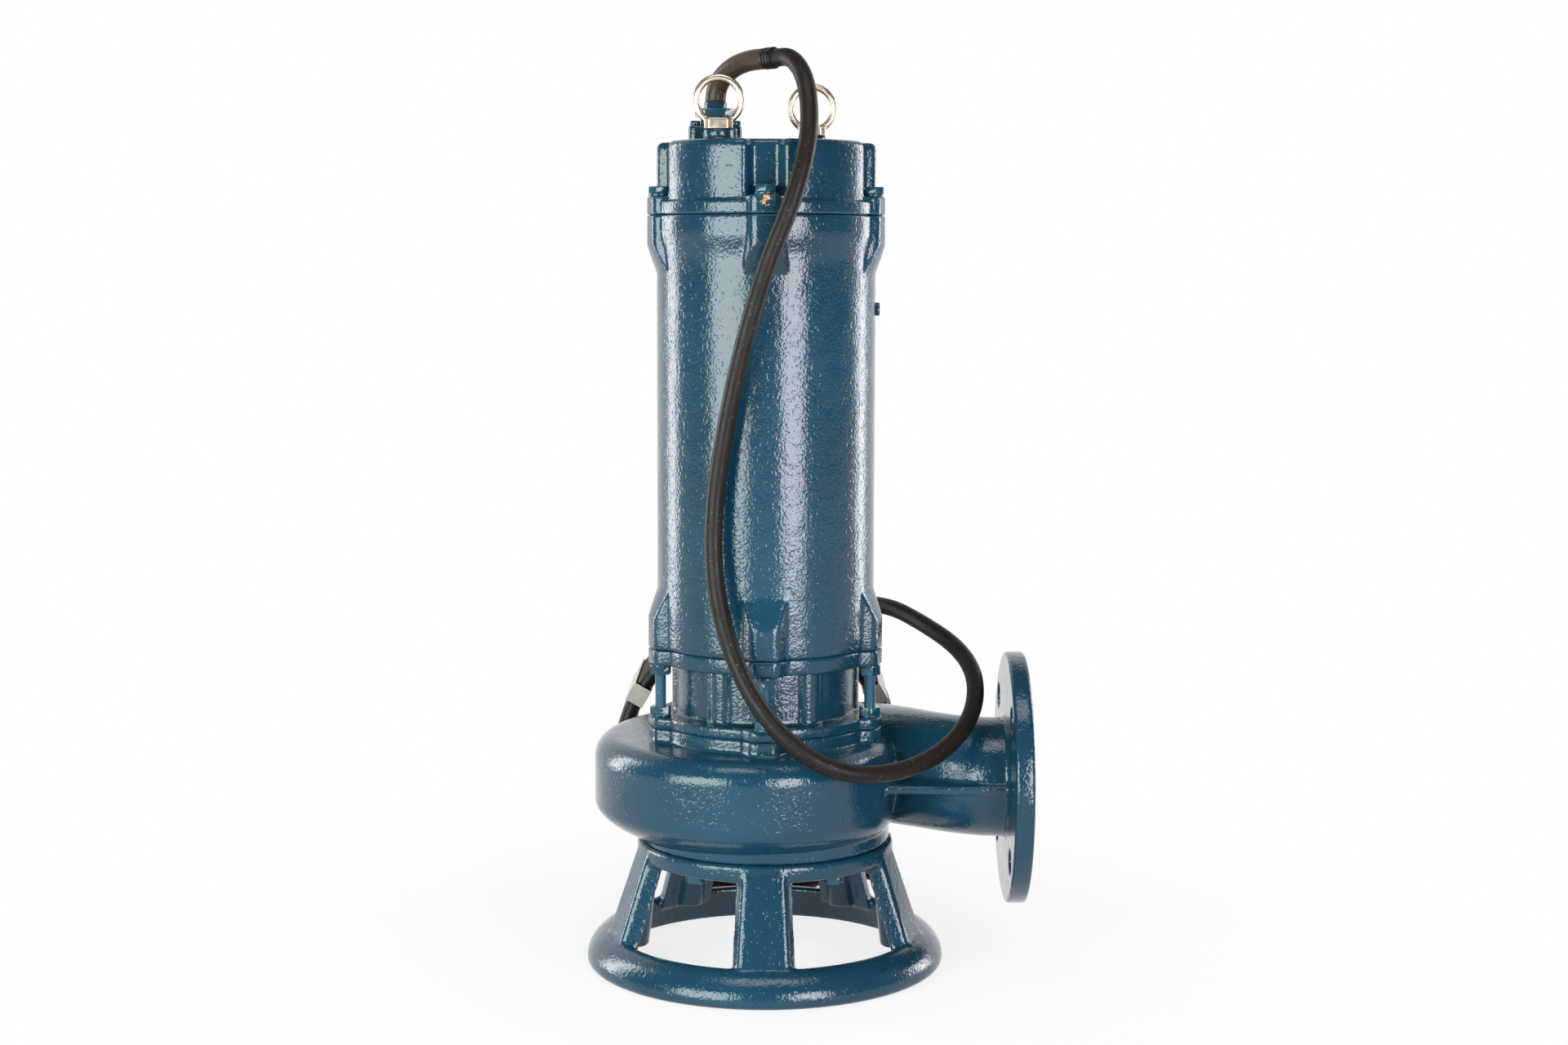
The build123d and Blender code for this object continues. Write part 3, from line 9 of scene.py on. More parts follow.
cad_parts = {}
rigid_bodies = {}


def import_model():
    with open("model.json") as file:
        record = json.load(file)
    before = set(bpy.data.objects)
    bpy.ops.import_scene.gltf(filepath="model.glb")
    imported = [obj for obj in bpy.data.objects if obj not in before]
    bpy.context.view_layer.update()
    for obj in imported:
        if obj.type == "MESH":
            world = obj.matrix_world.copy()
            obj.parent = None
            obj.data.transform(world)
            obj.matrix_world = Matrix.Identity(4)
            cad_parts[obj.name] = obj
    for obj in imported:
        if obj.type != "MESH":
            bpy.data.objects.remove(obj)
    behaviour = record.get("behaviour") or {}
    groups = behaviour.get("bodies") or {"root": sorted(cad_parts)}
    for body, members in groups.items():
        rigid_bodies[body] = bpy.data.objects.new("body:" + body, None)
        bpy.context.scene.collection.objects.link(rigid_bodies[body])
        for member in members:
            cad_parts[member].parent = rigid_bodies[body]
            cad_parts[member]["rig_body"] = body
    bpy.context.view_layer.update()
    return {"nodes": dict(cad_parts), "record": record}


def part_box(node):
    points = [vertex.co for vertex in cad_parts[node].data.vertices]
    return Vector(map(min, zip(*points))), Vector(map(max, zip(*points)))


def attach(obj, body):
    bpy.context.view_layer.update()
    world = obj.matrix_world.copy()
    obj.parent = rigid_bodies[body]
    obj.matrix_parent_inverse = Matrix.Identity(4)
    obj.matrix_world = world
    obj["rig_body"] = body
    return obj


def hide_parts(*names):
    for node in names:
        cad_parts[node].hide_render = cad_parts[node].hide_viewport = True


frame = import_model()
nodes = frame["nodes"]

# Camera: its lens and place were fitted to the photograph, which is 1920 x 1280 pixels
CAMERA_PLACE = (0.013718, -1.77877, 0.52951)
CAMERA_TILT = 83.763
CAMERA_ROLL = 0.164
CAMERA_LENS = 54.69
SENSOR_WIDTH = 36.0
NEAREST_SEEN = 0.05

# Cable: the corner points that the solids follow, some moved by up to 6 mm to follow the photograph
CABLE_RADIUS = 0.0065
GLAND_EXIT = (-0.038, 0.010, 0.647)
SLEEVE_ROUTE = (
    GLAND_EXIT,
    (-0.0380, 0.0100, 0.6585),
    (-0.0270, -0.0013, 0.6710),
    (-0.0134, -0.0152, 0.6758),
    (0.0000, -0.0290, 0.6760),
)
CABLE_ROUTE = (
    (0.00626, -0.03545, 0.67609),
    (0.0188, -0.04836, 0.67627),
    (0.0295, -0.0740, 0.6565),
    (0.0315, -0.0960, 0.6180),
    (0.0205, -0.1070, 0.5750),
    (0.0010, -0.1040, 0.5280),
    (-0.0154, -0.0980, 0.4720),
    (-0.0298, -0.0920, 0.4050),
    (-0.0376, -0.0890, 0.3450),
    (-0.0350, -0.0920, 0.2900),
    (-0.0180, -0.1060, 0.2360),
    (0.0100, -0.1175, 0.1960),
    (0.0460, -0.1230, 0.1710),
    (0.0880, -0.1040, 0.1640),
    (0.1280, -0.0720, 0.1720),
    (0.1540, -0.0370, 0.1930),
    (0.1600, -0.0030, 0.2170),
    (0.1490, 0.0300, 0.2350),
    (0.1225, 0.0680, 0.2490),
    (0.0950, 0.1030, 0.2590),
    (0.0560, 0.1380, 0.2540),
    (0.0170, 0.1585, 0.2315),
)
TAIL_ROUTE = (
    (0.014, 0.2625, 0.0065),
    (0.038, 0.2565, 0.0065),
    (0.059, 0.2435, 0.0065),
)

# Coil behind the pump: its centre in x and z, and the distances of its first and last turn
COIL_CENTRE = (-0.008, 0.119)
COIL_RADIUS = 0.1125
COIL_FRONT = 0.1585
COIL_BACK = 0.2625
COIL_TURNS = 7.5
POINTS_PER_TURN = 16

# Sleeve at the gland and the tape at its end, which is wound in laps with a small step between them
SLEEVE_RADIUS = 0.0076
SLEEVE_LENGTH = 0.069
TAPE_RADIUS = 0.0079
TAPE_LENGTH = 0.009
TAPE_STEPS = 12
STEPS_PER_LAP = 4
LAP_DROP = 0.0003
HOSE_SIDES = 32

# Bosses under the stand's legs: upright in the solids, leaning outwards in the photograph.
# The two margins pick out the vertices of their lower ends.
LEG_COUNT = 5
BOSS_CIRCLE = 0.095
BOSS_RADIUS = 0.011
BOSS_FOOT = 0.019
BOSS_LEAN = 0.008
BOSS_SIDE_MARGIN = 0.0004
BOSS_FOOT_MARGIN = 0.001

# Meshes of the nodes: points closer than this are one point
JOIN_DISTANCE = 0.000002

# Studio: a pale floor, a white sweep round the back and five soft lamps that face the pump's middle
FLOOR_SIZE = 6.0
SWEEP_RADIUS = 2.6
SWEEP_HALF_ANGLE = 82.0
SWEEP_STEPS = 40
SWEEP_FOOT = -0.01
SWEEP_HEIGHT = 3.0
SHADOW_NEAR = 0.12
SHADOW_FAR = 0.6
FLOOR_GLOW = 0.8
SWEEP_GLOW = 1.0
WORLD_FILL = 0.12
WHITE = (1.0, 1.0, 1.0, 1.0)
PLAIN_WHITE = (0.8, 0.8, 0.8, 1.0)
LAMP_TARGET = (0.0, 0.0, 0.35)

# Each lamp's name, place, width and height, power in watts, and colour
LAMPS = (
    ("lamp_left", (-1.12, -1.43, 0.46), (1.25, 1.0), 42.0, (0.88, 1.0, 0.96)),
    ("lamp_right", (0.86, -1.62, 0.46), (0.72, 1.0), 31.0, (0.94, 0.94, 1.0)),
    ("lamp_rim_left", (-1.48, 0.62, 0.55), (0.45, 1.3), 15.0, (1.0, 1.0, 1.0)),
    ("lamp_rim_right", (1.42, 0.75, 0.55), (0.45, 1.3), 15.0, (1.0, 1.0, 1.0)),
    ("lamp_top", (0.0, -0.6, 2.2), (1.4, 0.8), 13.0, (1.0, 1.0, 1.0)),
)


def link_object(name, data):
    """New object in the scene for a mesh, curve, camera or lamp."""
    piece = bpy.data.objects.new(name, data)
    bpy.context.scene.collection.objects.link(piece)
    return piece


def object_from_bmesh(name, shape):
    """New object from a bmesh, with smooth faces."""
    mesh = bpy.data.meshes.new(name)
    shape.to_mesh(mesh)
    shape.free()
    mesh.shade_smooth()
    return link_object(name, mesh)


def make_camera():
    """The camera, with the photograph's place and lens."""
    data = bpy.data.cameras.new("camera")
    camera = link_object("camera", data)
    data.sensor_width = SENSOR_WIDTH
    data.lens = CAMERA_LENS
    data.clip_start = NEAREST_SEEN
    tilt = Matrix.Rotation(math.radians(CAMERA_TILT), 4, "X")
    roll = Matrix.Rotation(math.radians(CAMERA_ROLL), 4, "Z")
    camera.matrix_world = Matrix.Translation(CAMERA_PLACE) @ (tilt @ roll)
    bpy.context.scene.camera = camera


# Cable, sleeve and tape

def route_line(curve):
    """Points along a curve's own line, with no bevel."""
    depth = curve.data.bevel_depth
    curve.data.bevel_depth = 0.0
    bpy.context.view_layer.update()
    line = bpy.data.meshes.new_from_object(curve.evaluated_get(bpy.context.evaluated_depsgraph_get()))
    points = [vertex.co.copy() for vertex in line.vertices]
    bpy.data.meshes.remove(line)
    curve.data.bevel_depth = depth
    return points


def stretch_of(points, start, end):
    """The part of a line between two distances along it."""
    kept = []
    gone = 0.0
    for before, after in zip(points, points[1:]):
        run = (after - before).length
        if gone <= start < gone + run:
            kept.append(before.lerp(after, (start - gone) / run))
        if start < gone + run < end:
            kept.append(after.copy())
        if gone <= end < gone + run:
            kept.append(before.lerp(after, (end - gone) / run))
        gone += run
    return kept


def make_hose(name, points, radii):
    """Closed tube along points, with one radius for each point."""
    shape = bmesh.new()
    rings = []
    across = None
    for index, point in enumerate(points):
        before = points[max(index - 1, 0)]
        after = points[min(index + 1, len(points) - 1)]
        along = (after - before).normalized()
        if across is None:
            across = along.orthogonal().normalized()
        across = (across - along * across.dot(along)).normalized()
        side = along.cross(across)
        ring = []
        for step in range(HOSE_SIDES):
            turn = 2 * math.pi * step / HOSE_SIDES
            offset = across * math.cos(turn) + side * math.sin(turn)
            ring.append(shape.verts.new(point + offset * radii[index]))
        rings.append(ring)
    for ring, following in zip(rings, rings[1:]):
        for step in range(HOSE_SIDES):
            ahead = (step + 1) % HOSE_SIDES
            shape.faces.new((ring[step], ring[ahead], following[ahead], following[step]))
    shape.faces.new(list(reversed(rings[0])))
    shape.faces.new(rings[-1])
    bmesh.ops.recalc_face_normals(shape, faces=shape.faces)
    return object_from_bmesh(name, shape)


def coil_route():
    """Corner points of the coil, set outwards so that the smooth line between them has the coil's radius."""
    corner_radius = COIL_RADIUS / math.cos(math.pi / POINTS_PER_TURN)
    pitch = (COIL_BACK - COIL_FRONT) / COIL_TURNS
    corners = []
    for step in range(int(COIL_TURNS * POINTS_PER_TURN)):
        turns = (step + 0.5) / POINTS_PER_TURN
        angle = math.pi / 2 + 2 * math.pi * turns
        x = COIL_CENTRE[0] + corner_radius * math.cos(angle)
        z = COIL_CENTRE[1] + corner_radius * math.sin(angle)
        corners.append((x, COIL_FRONT + pitch * turns, z))
    return corners


def make_cable():
    """The whole cable on one smooth line: over the arch, down the front, round to the coil and its tail."""
    points = [*SLEEVE_ROUTE, *CABLE_ROUTE, *coil_route(), *TAIL_ROUTE]
    data = bpy.data.curves.new("cable", "CURVE")
    data.dimensions = "3D"
    spline = data.splines.new("NURBS")
    spline.points.add(len(points) - 1)
    for target, place in zip(spline.points, points):
        target.co = (*place, 1.0)
        target.radius = CABLE_RADIUS
    spline.order_u = 3
    spline.use_endpoint_u = True
    spline.resolution_u = 8
    data.bevel_depth = 1.0
    data.bevel_resolution = 7
    data.use_fill_caps = True
    cable = link_object("cable", data)
    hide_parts("power_cable", "cable_coil", "cable_tail")
    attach(cable, "pump")
    return cable


def make_sleeve(line):
    """Thicker sleeve over the start of the cable, from the gland to the taped joint."""
    points = stretch_of(line, 0.0, SLEEVE_LENGTH)
    sleeve = make_hose("sleeve", points, [SLEEVE_RADIUS] * len(points))
    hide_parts("cable_sleeve")
    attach(sleeve, "pump")
    return sleeve


def make_tape(line):
    """Wound tape over the joint of the sleeve and the cable."""
    length = TAPE_LENGTH / TAPE_STEPS
    points = []
    radii = []
    for step in range(TAPE_STEPS + 1):
        start = SLEEVE_LENGTH + step * length
        points.append(stretch_of(line, start, start + length)[0])
        radii.append(TAPE_RADIUS - (LAP_DROP if step % STEPS_PER_LAP == 0 else 0.0))
    tape = make_hose("tape_band", points, radii)
    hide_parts("cable_band")
    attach(tape, "pump")
    return tape


make_camera()
cable = make_cable()
cable_line = route_line(cable)
sleeve = make_sleeve(cable_line)
tape = make_tape(cable_line)


# Materials

def rgb(red, green, blue):
    """Linear colour from the 0 to 255 values that a screen shows."""
    def linear(value):
        value /= 255.0
        return value / 12.92 if value <= 0.04045 else ((value + 0.055) / 1.055) ** 2.4

    return (linear(red), linear(green), linear(blue), 1.0)


def darker(colour, share):
    """A colour with only a share of its light."""
    return tuple(share * part for part in colour[:3]) + (1.0,)


PAINT_COLOUR = rgb(18, 58, 77)
PAINT_DEEP = rgb(14, 48, 65)
# Paler paint that is blended onto convex edges as a painted highlight
PAINT_EDGE_HIGHLIGHT = rgb(44, 92, 112)
SPECK_COLOUR = rgb(120, 140, 150)
PRIMER_COLOUR = rgb(196, 168, 120)
RUST_COLOUR = rgb(110, 66, 30)
DUST_COLOUR = rgb(150, 138, 124)

# Heights of the paint's broad swell, its orange peel and its pits, and of the scratches in bare steel
SWELL_HEIGHT = 0.0004
PEEL_HEIGHT = 0.00023
PIT_DEPTH = 0.0001
SCRATCH_DEPTH = 0.000004

# The chip in the paint of the cover's front lug: its middle, its radius, and how ragged and soft its edge is
CHIP_PLACE = (0.0005, -0.0895, 0.5745)
CHIP_RADIUS = 0.0042
CHIP_RAGGED = 0.0022
CHIP_SOFT = 0.0006


class NodeKit:
    """Small helper that adds nodes to one node tree."""

    def __init__(self, tree):
        self.tree = tree

    def feed(self, socket, value):
        """Set a socket to a value or link it to an output."""
        if isinstance(value, bpy.types.NodeSocket):
            self.tree.links.new(value, socket)
        else:
            socket.default_value = value

    def add(self, kind, inputs=None, **settings):
        """A new node with settings and input values or links."""
        node = self.tree.nodes.new(kind)
        for key, value in settings.items():
            setattr(node, key, value)
        for key, value in (inputs or {}).items():
            self.feed(node.inputs[key], value)
        return node

    def ramp(self, value, low, high, start=0.0, end=1.0):
        """Stretch a value from one range to another, held at both ends."""
        inputs = {"Value": value, "From Min": low, "From Max": high, "To Min": start, "To Max": end}
        return self.add("ShaderNodeMapRange", inputs).outputs["Result"]

    def maths(self, kind, first, second):
        """One maths node."""
        return self.add("ShaderNodeMath", {0: first, 1: second}, operation=kind).outputs[0]


class Paintbox(NodeKit):
    """Helper for one new material, whose shader it sets."""

    def __init__(self, name):
        self.material = bpy.data.materials.new(name)
        self.material.use_nodes = True
        super().__init__(self.material.node_tree)
        self.shader = self.tree.nodes["Principled BSDF"]
        self.place = self.add("ShaderNodeTexCoord").outputs["Object"]

    def noise(self, scale, detail=2.0, roughness=0.5, stretch=None):
        """Noise in the object's own metres, as a value around a half."""
        place = self.place
        if stretch:
            place = self.add("ShaderNodeMapping", {"Vector": place, "Scale": stretch}).outputs["Vector"]
        inputs = {"Vector": place, "Scale": scale, "Detail": detail, "Roughness": roughness}
        return self.add("ShaderNodeTexNoise", inputs).outputs["Fac"]

    def blend(self, share, first, second):
        """Mix two colours by a share."""
        return self.add("ShaderNodeMix", {0: share, 6: first, 7: second}, data_type="RGBA").outputs[2]

    def bump(self, height, distance, normal=None):
        """Bump from a height, in metres, on top of another bump where one is given."""
        inputs = {"Height": height, "Distance": distance, "Strength": 1.0}
        if normal is not None:
            inputs["Normal"] = normal
        return self.add("ShaderNodeBump", inputs).outputs["Normal"]

    def set(self, **values):
        """Set the shader's inputs by name, with spaces written as underscores."""
        for key, value in values.items():
            self.feed(self.shader.inputs[key.replace("_", " ")], value)


def chip_paint(box, colour):
    """The paint's colour with one ragged chip, down to the primer and some rust."""
    distance = {0: box.place, 1: CHIP_PLACE}
    away = box.add("ShaderNodeVectorMath", distance, operation="DISTANCE").outputs["Value"]
    wander = box.ramp(box.noise(scale=420.0), 0.3, 0.7, start=-CHIP_RAGGED, end=CHIP_RAGGED)
    chip = box.ramp(box.maths("ADD", away, wander), CHIP_RADIUS, CHIP_RADIUS - CHIP_SOFT)
    bared = box.blend(box.ramp(box.noise(scale=700.0), 0.4, 0.6), PRIMER_COLOUR, RUST_COLOUR)
    return box.blend(chip, colour, bared)


def make_paint(name, grain, unevenness, chipped=False):
    """Thick glossy paint on a cast skin: uneven tone, a painted highlight on edges, specks, orange peel and
    small pits.
    """
    box = Paintbox(name)
    tone = box.ramp(box.noise(scale=9.0, detail=3.0), 0.35, 0.65)
    colour = box.blend(tone, PAINT_COLOUR, PAINT_DEEP)
    # Convex edges, found by pointiness, lightened towards the paler paint: a painted highlight along the
    # edges
    edges = box.add("ShaderNodeNewGeometry").outputs["Pointiness"]
    colour = box.blend(box.ramp(edges, 0.53, 0.62, end=0.5), colour, PAINT_EDGE_HIGHLIGHT)
    specks = box.ramp(box.noise(scale=900.0, detail=1.0), 0.76, 0.79, end=0.3)
    colour = box.blend(specks, colour, SPECK_COLOUR)
    if chipped:
        colour = chip_paint(box, colour)
    swell = box.noise(scale=60.0, detail=1.0)
    peel = box.noise(scale=500.0)
    pits = box.ramp(box.noise(scale=300.0, detail=1.0), 0.30, 0.42)
    normal = box.bump(swell, SWELL_HEIGHT * unevenness)
    normal = box.bump(peel, PEEL_HEIGHT * grain, normal)
    normal = box.bump(pits, PIT_DEPTH * grain, normal)
    shine = box.ramp(box.noise(scale=30.0, detail=3.0), 0.3, 0.7, start=0.35, end=0.5)
    box.set(Base_Color=colour, Roughness=shine, Normal=normal, Specular_IOR_Level=0.04)
    box.set(Coat_Weight=1.0, Coat_IOR=1.45, Coat_Roughness=0.045, Coat_Normal=normal)
    return box.material


def make_steel(name, colour, roughness, edge=WHITE):
    """Bare or ground steel with fine scratches, a few dull patches and its own tint at grazing angles."""
    box = Paintbox(name)
    dull = box.ramp(box.noise(scale=60.0, detail=4.0), 0.4, 0.7)
    shade = box.blend(dull, colour, darker(colour, 0.8))
    scratches = box.noise(scale=900.0, roughness=0.6, stretch=(1.0, 1.0, 0.2))
    patches = box.noise(scale=140.0, detail=4.0)
    rough = box.ramp(patches, 0.3, 0.7, start=roughness * 0.8, end=roughness * 1.3)
    box.set(Base_Color=shade, Metallic=1.0, Roughness=rough, Specular_Tint=edge)
    box.set(Normal=box.bump(scratches, SCRATCH_DEPTH))
    return box.material


def make_rubber(name, colour, roughness=0.42, dusty=0.5):
    """Extruded rubber with a fine skin, a soft uneven sheen and specks of dust."""
    box = Paintbox(name)
    tone = box.ramp(box.noise(scale=35.0, detail=3.0), 0.35, 0.65)
    shade = box.blend(tone, colour, darker(colour, 0.7))
    dust = box.ramp(box.noise(scale=520.0, detail=3.0, roughness=0.65), 0.66, 0.74, end=dusty)
    shade = box.blend(dust, shade, DUST_COLOUR)
    skin = box.noise(scale=700.0)
    patches = box.noise(scale=90.0, detail=3.0)
    rough = box.ramp(patches, 0.3, 0.7, start=roughness * 0.85, end=roughness * 1.2)
    box.set(Base_Color=shade, Roughness=rough, Specular_IOR_Level=0.18, Normal=box.bump(skin, 0.00008))
    return box.material


def make_plain(name, colour, roughness, metallic=0.0, grain=0.0001, scale=500.0):
    """Simple finish with a fine grain and a slight change of tone."""
    box = Paintbox(name)
    tone = box.ramp(box.noise(scale=40.0, detail=3.0), 0.35, 0.65)
    shade = box.blend(tone, colour, darker(colour, 0.75))
    normal = box.bump(box.noise(scale, detail=3.0), grain)
    box.set(Base_Color=shade, Metallic=metallic, Roughness=roughness, Normal=normal)
    return box.material


def make_layers(name, light, dark, waves, metallic, roughness, depth):
    """Fine level layers of two tones, for wound wire or stacked sheets."""
    box = Paintbox(name)
    inputs = {"Vector": box.place, **waves}
    layers = box.add("ShaderNodeTexWave", inputs, bands_direction="Z").outputs["Fac"]
    shade = box.blend(layers, light, dark)
    box.set(Base_Color=shade, Metallic=metallic, Roughness=roughness, Normal=box.bump(layers, depth))
    return box.material


def make_winding(name):
    """Varnished copper wire, wound round in fine turns."""
    waves = {"Scale": 620.0, "Distortion": 3.0, "Detail": 1.0}
    return make_layers(name, rgb(150, 82, 40), rgb(96, 44, 20), waves, 0.6, 0.35, depth=0.0004)


def make_sheets(name):
    """Stack of thin varnished steel sheets."""
    waves = {"Scale": 320.0, "Distortion": 0.0, "Detail": 0.0}
    return make_layers(name, rgb(120, 122, 126), rgb(74, 76, 80), waves, 0.8, 0.42, depth=0.0002)


def make_core_colours(name):
    """Insulation of the four bare cores: brown above the cable's axis and black below it."""
    box = Paintbox(name)
    height = box.add("ShaderNodeSeparateXYZ", {0: box.place}).outputs["Z"]
    low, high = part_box("cable_cores")
    upper = box.maths("GREATER_THAN", height, (low.z + high.z) / 2)
    shade = box.blend(upper, rgb(30, 30, 32), rgb(120, 66, 34))
    box.set(Base_Color=shade, Roughness=0.38, Normal=box.bump(box.noise(scale=600.0), 0.00005))
    return box.material


materials = {
    "casting": make_paint("casting_paint", grain=1.0, unevenness=1.0),
    "painted_fasteners": make_paint("fastener_paint", grain=0.35, unevenness=0.2),
    "gland_metal": make_paint("gland_paint", grain=0.3, unevenness=0.2),
    "bare_steel": make_steel("eyebolt_steel", rgb(206, 192, 172), 0.3, edge=rgb(96, 84, 72)),
    "machined_steel": make_steel("machined_steel", rgb(196, 197, 200), 0.26),
    "cable_rubber": make_rubber("cable_rubber", rgb(27, 23, 20)),
    "tape": make_rubber("tape", rgb(18, 17, 17), 0.34, dusty=0.2),
    "seal_rubber": make_rubber("seal_rubber", rgb(28, 28, 29), 0.5, dusty=0.1),
    "seal_faces": make_plain("seal_faces", rgb(70, 71, 74), 0.18, metallic=0.5, grain=0.00002),
    "grey_iron": make_plain("grey_iron", rgb(112, 113, 115), 0.55, metallic=0.7, grain=0.0003, scale=320.0),
    "bronze": make_plain("bronze", rgb(180, 136, 70), 0.3, metallic=1.0, grain=0.00003),
    "lamination_steel": make_sheets("lamination_steel"),
    "copper_winding": make_winding("copper_winding"),
    "core_insulation": make_core_colours("core_insulation"),
    "cover": make_paint("cover_paint", grain=1.0, unevenness=1.0, chipped=True),
    "sleeve": make_rubber("sleeve_rubber", rgb(56, 47, 40), 0.3, dusty=0.8),
    # The ties' pale grey is a painted reflection: it stands in for the rim lamp's glare on the coil behind
    # the pump
    "ties": make_plain("tie_pale_painted_glare", rgb(176, 168, 160), 0.3),
}


def dress(piece, material):
    """Give a piece one material."""
    piece.data.materials.clear()
    piece.data.materials.append(material)


slots = {entry["node"]: entry["material_slot"] for entry in frame["record"]["subparts"]}
for node, piece in nodes.items():
    dress(piece, materials[slots[node]])
dress(cable, materials["cable_rubber"])
dress(sleeve, materials["sleeve"])
dress(tape, materials["tape"])
# Coil ties in pale grey, a painted reflection of the rim lamp on the coil
dress(nodes["coil_ties"], materials["ties"])


# Castings and fasteners, from the nodes' own meshes

def copy_of(node):
    """New object with a node's own mesh, its doubled points joined."""
    shape = bmesh.new()
    shape.from_mesh(nodes[node].data)
    bmesh.ops.remove_doubles(shape, verts=shape.verts, dist=JOIN_DISTANCE)
    mesh = bpy.data.meshes.new(node + "_look")
    shape.to_mesh(mesh)
    shape.free()
    piece = link_object(node + "_look", mesh)
    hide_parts(node)
    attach(piece, nodes[node]["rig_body"])
    return piece


def apply_all(piece):
    """Apply a piece's modifiers."""
    bpy.context.view_layer.update()
    shown = piece.evaluated_get(bpy.context.evaluated_depsgraph_get())
    mesh = bpy.data.meshes.new_from_object(shown)
    piece.modifiers.clear()
    piece.data = mesh


def lean_bosses(mesh):
    """Move the lower ends of the stand's bosses outwards, so that they lean as the legs do."""
    for vertex in mesh.vertices:
        if abs(vertex.co.z - BOSS_FOOT) > BOSS_FOOT_MARGIN:
            continue
        for leg in range(LEG_COUNT):
            turn = math.radians(360 / LEG_COUNT * leg - 90)
            outwards = Vector((math.cos(turn), math.sin(turn), 0.0))
            away = vertex.co - BOSS_CIRCLE * outwards
            if Vector((away.x, away.y)).length < BOSS_RADIUS + BOSS_SIDE_MARGIN:
                vertex.co += BOSS_LEAN * outwards
                break


def cast(node, material, grid, passes, keep=0.4, reshape=None):
    """Cast look: a node's form with its edges softly rounded, as by sand casting and thick paint."""
    piece = copy_of(node)
    if reshape:
        reshape(piece.data)
    remesh = piece.modifiers.new("skin", "REMESH")
    remesh.mode = "VOXEL"
    remesh.voxel_size = grid
    soften = piece.modifiers.new("soften", "SMOOTH")
    soften.factor = 0.5
    soften.iterations = passes
    thin = piece.modifiers.new("thin", "DECIMATE")
    thin.ratio = keep
    apply_all(piece)
    piece.data.shade_smooth()
    dress(piece, material)


def bevelled(node, material, width):
    """Machined look: a node's form with small bevels on its sharp edges."""
    piece = copy_of(node)
    shape = bmesh.new()
    shape.from_mesh(piece.data)
    bmesh.ops.dissolve_limit(
        shape, angle_limit=math.radians(1.0), verts=shape.verts, edges=shape.edges, delimit={"NORMAL"}
    )
    shape.to_mesh(piece.data)
    shape.free()
    piece.data.shade_smooth()
    bevel = piece.modifiers.new("bevel", "BEVEL")
    bevel.width = width
    bevel.segments = 2
    bevel.limit_method = "ANGLE"
    bevel.angle_limit = math.radians(38)
    bevel.harden_normals = True
    apply_all(piece)
    dress(piece, material)


cast("base_stand", materials["casting"], grid=0.0013, passes=14, reshape=lean_bosses)
cast("volute_casing", materials["casting"], grid=0.0016, passes=4)
for node in ("oil_chamber", "bearing_housing", "motor_casing"):
    cast(node, materials["casting"], grid=0.0013, passes=4)
cast("top_cover", materials["cover"], grid=0.0011, passes=4)
cast("gland_flange", materials["casting"], grid=0.0008, passes=4)
for node in ("base_bolts", "lower_nuts", "upper_nuts", "cover_bolts", "side_screw", "gland_screws"):
    bevelled(node, materials["painted_fasteners"], width=0.0006)
bevelled("cover_washers", materials["painted_fasteners"], width=0.0003)
bevelled("gland_nut", materials["gland_metal"], width=0.0007)
for node in ("eyebolt_front", "eyebolt_rear"):
    cast(node, materials["bare_steel"], grid=0.0005, passes=9, keep=1.0)


# Studio

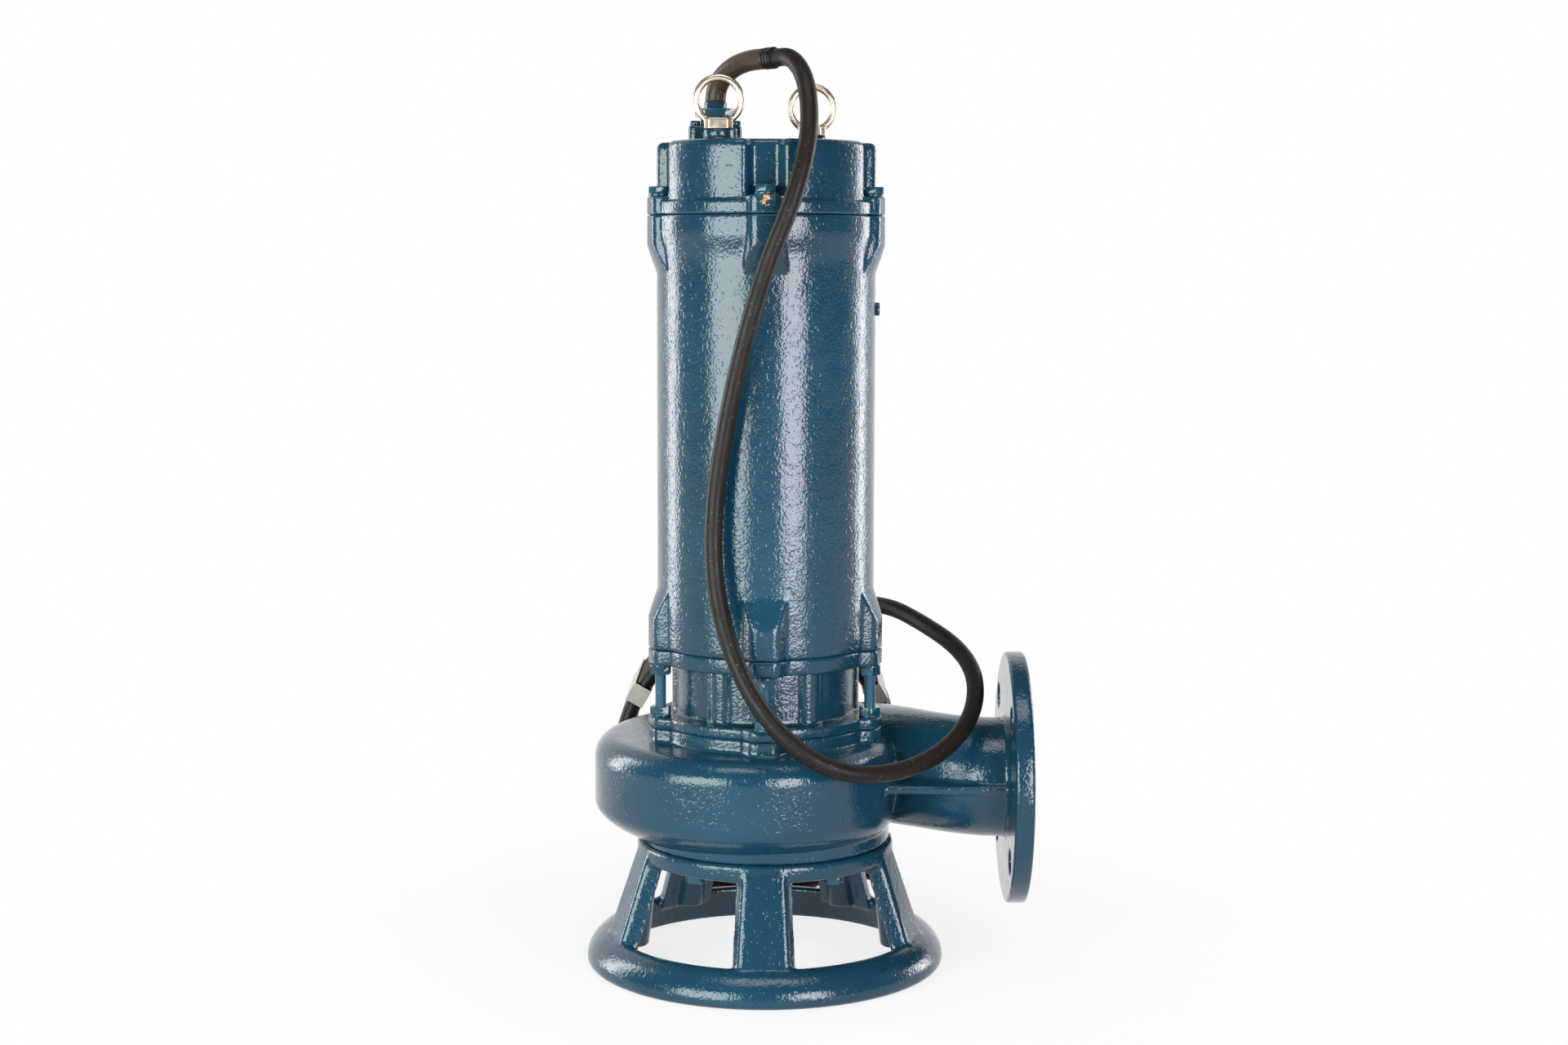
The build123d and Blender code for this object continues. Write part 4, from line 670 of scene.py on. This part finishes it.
def make_studio_white(name, near_share):
    """Even white in the picture and in reflections, partly plain near the pump so that its shadow shows."""
    material = bpy.data.materials.new(name)
    material.use_nodes = True
    material.node_tree.nodes.clear()
    kit = NodeKit(material.node_tree)
    rays = kit.add("ShaderNodeLightPath").outputs
    seen = kit.maths("MAXIMUM", rays["Is Camera Ray"], rays["Is Glossy Ray"])
    seen = kit.maths("MAXIMUM", seen, rays["Is Transmission Ray"])
    place = kit.add("ShaderNodeTexCoord").outputs["Object"]
    away = kit.add("ShaderNodeVectorMath", {0: place}, operation="LENGTH").outputs["Value"]
    share = kit.maths("MULTIPLY", seen, kit.ramp(away, SHADOW_NEAR, SHADOW_FAR, start=near_share))
    plain = kit.add("ShaderNodeBsdfDiffuse", {"Color": PLAIN_WHITE}).outputs[0]
    glow = kit.add("ShaderNodeEmission", {"Color": WHITE, "Strength": 1.0}).outputs[0]
    mix = kit.add("ShaderNodeMixShader", {0: share, 1: plain, 2: glow}).outputs[0]
    kit.add("ShaderNodeOutputMaterial", {"Surface": mix})
    return material


def make_stage():
    """Floor and the curved sweep behind it."""
    floor = bmesh.new()
    bmesh.ops.create_grid(floor, x_segments=1, y_segments=1, size=FLOOR_SIZE)
    ground = object_from_bmesh("floor", floor)
    dress(ground, make_studio_white("floor_white", FLOOR_GLOW))
    sweep = bmesh.new()
    edges = []
    for step in range(SWEEP_STEPS + 1):
        turn = math.radians(90 - SWEEP_HALF_ANGLE + 2 * SWEEP_HALF_ANGLE * step / SWEEP_STEPS)
        x = SWEEP_RADIUS * math.cos(turn)
        y = SWEEP_RADIUS * math.sin(turn)
        edges.append((sweep.verts.new((x, y, SWEEP_FOOT)), sweep.verts.new((x, y, SWEEP_HEIGHT))))
    for first, second in zip(edges, edges[1:]):
        sweep.faces.new((first[0], second[0], second[1], first[1]))
    wall = object_from_bmesh("sweep", sweep)
    dress(wall, make_studio_white("sweep_white", SWEEP_GLOW))


def make_lamp(name, place, size, power, colour):
    """Rectangular soft lamp that faces the middle of the pump."""
    data = bpy.data.lights.new(name, "AREA")
    data.shape = "RECTANGLE"
    data.size, data.size_y = size
    data.energy = power
    data.color = colour
    lamp = link_object(name, data)
    away = Vector(place) - Vector(LAMP_TARGET)
    lamp.matrix_world = Matrix.Translation(place) @ away.to_track_quat("Z", "Y").to_matrix().to_4x4()


def make_world():
    """Dim even world that fills the shadows, and white where the camera sees it."""
    world = bpy.data.worlds.new("world")
    bpy.context.scene.world = world
    world.use_nodes = True
    kit = NodeKit(world.node_tree)
    rays = kit.add("ShaderNodeLightPath").outputs
    seen = kit.maths("MAXIMUM", rays["Is Camera Ray"], rays["Is Transmission Ray"])
    background = world.node_tree.nodes["Background"]
    kit.feed(background.inputs["Color"], WHITE)
    kit.feed(background.inputs["Strength"], kit.ramp(seen, 0.0, 1.0, start=WORLD_FILL))


make_stage()
for lamp in LAMPS:
    make_lamp(*lamp)
make_world()
bpy.context.scene.view_settings.view_transform = "Standard"
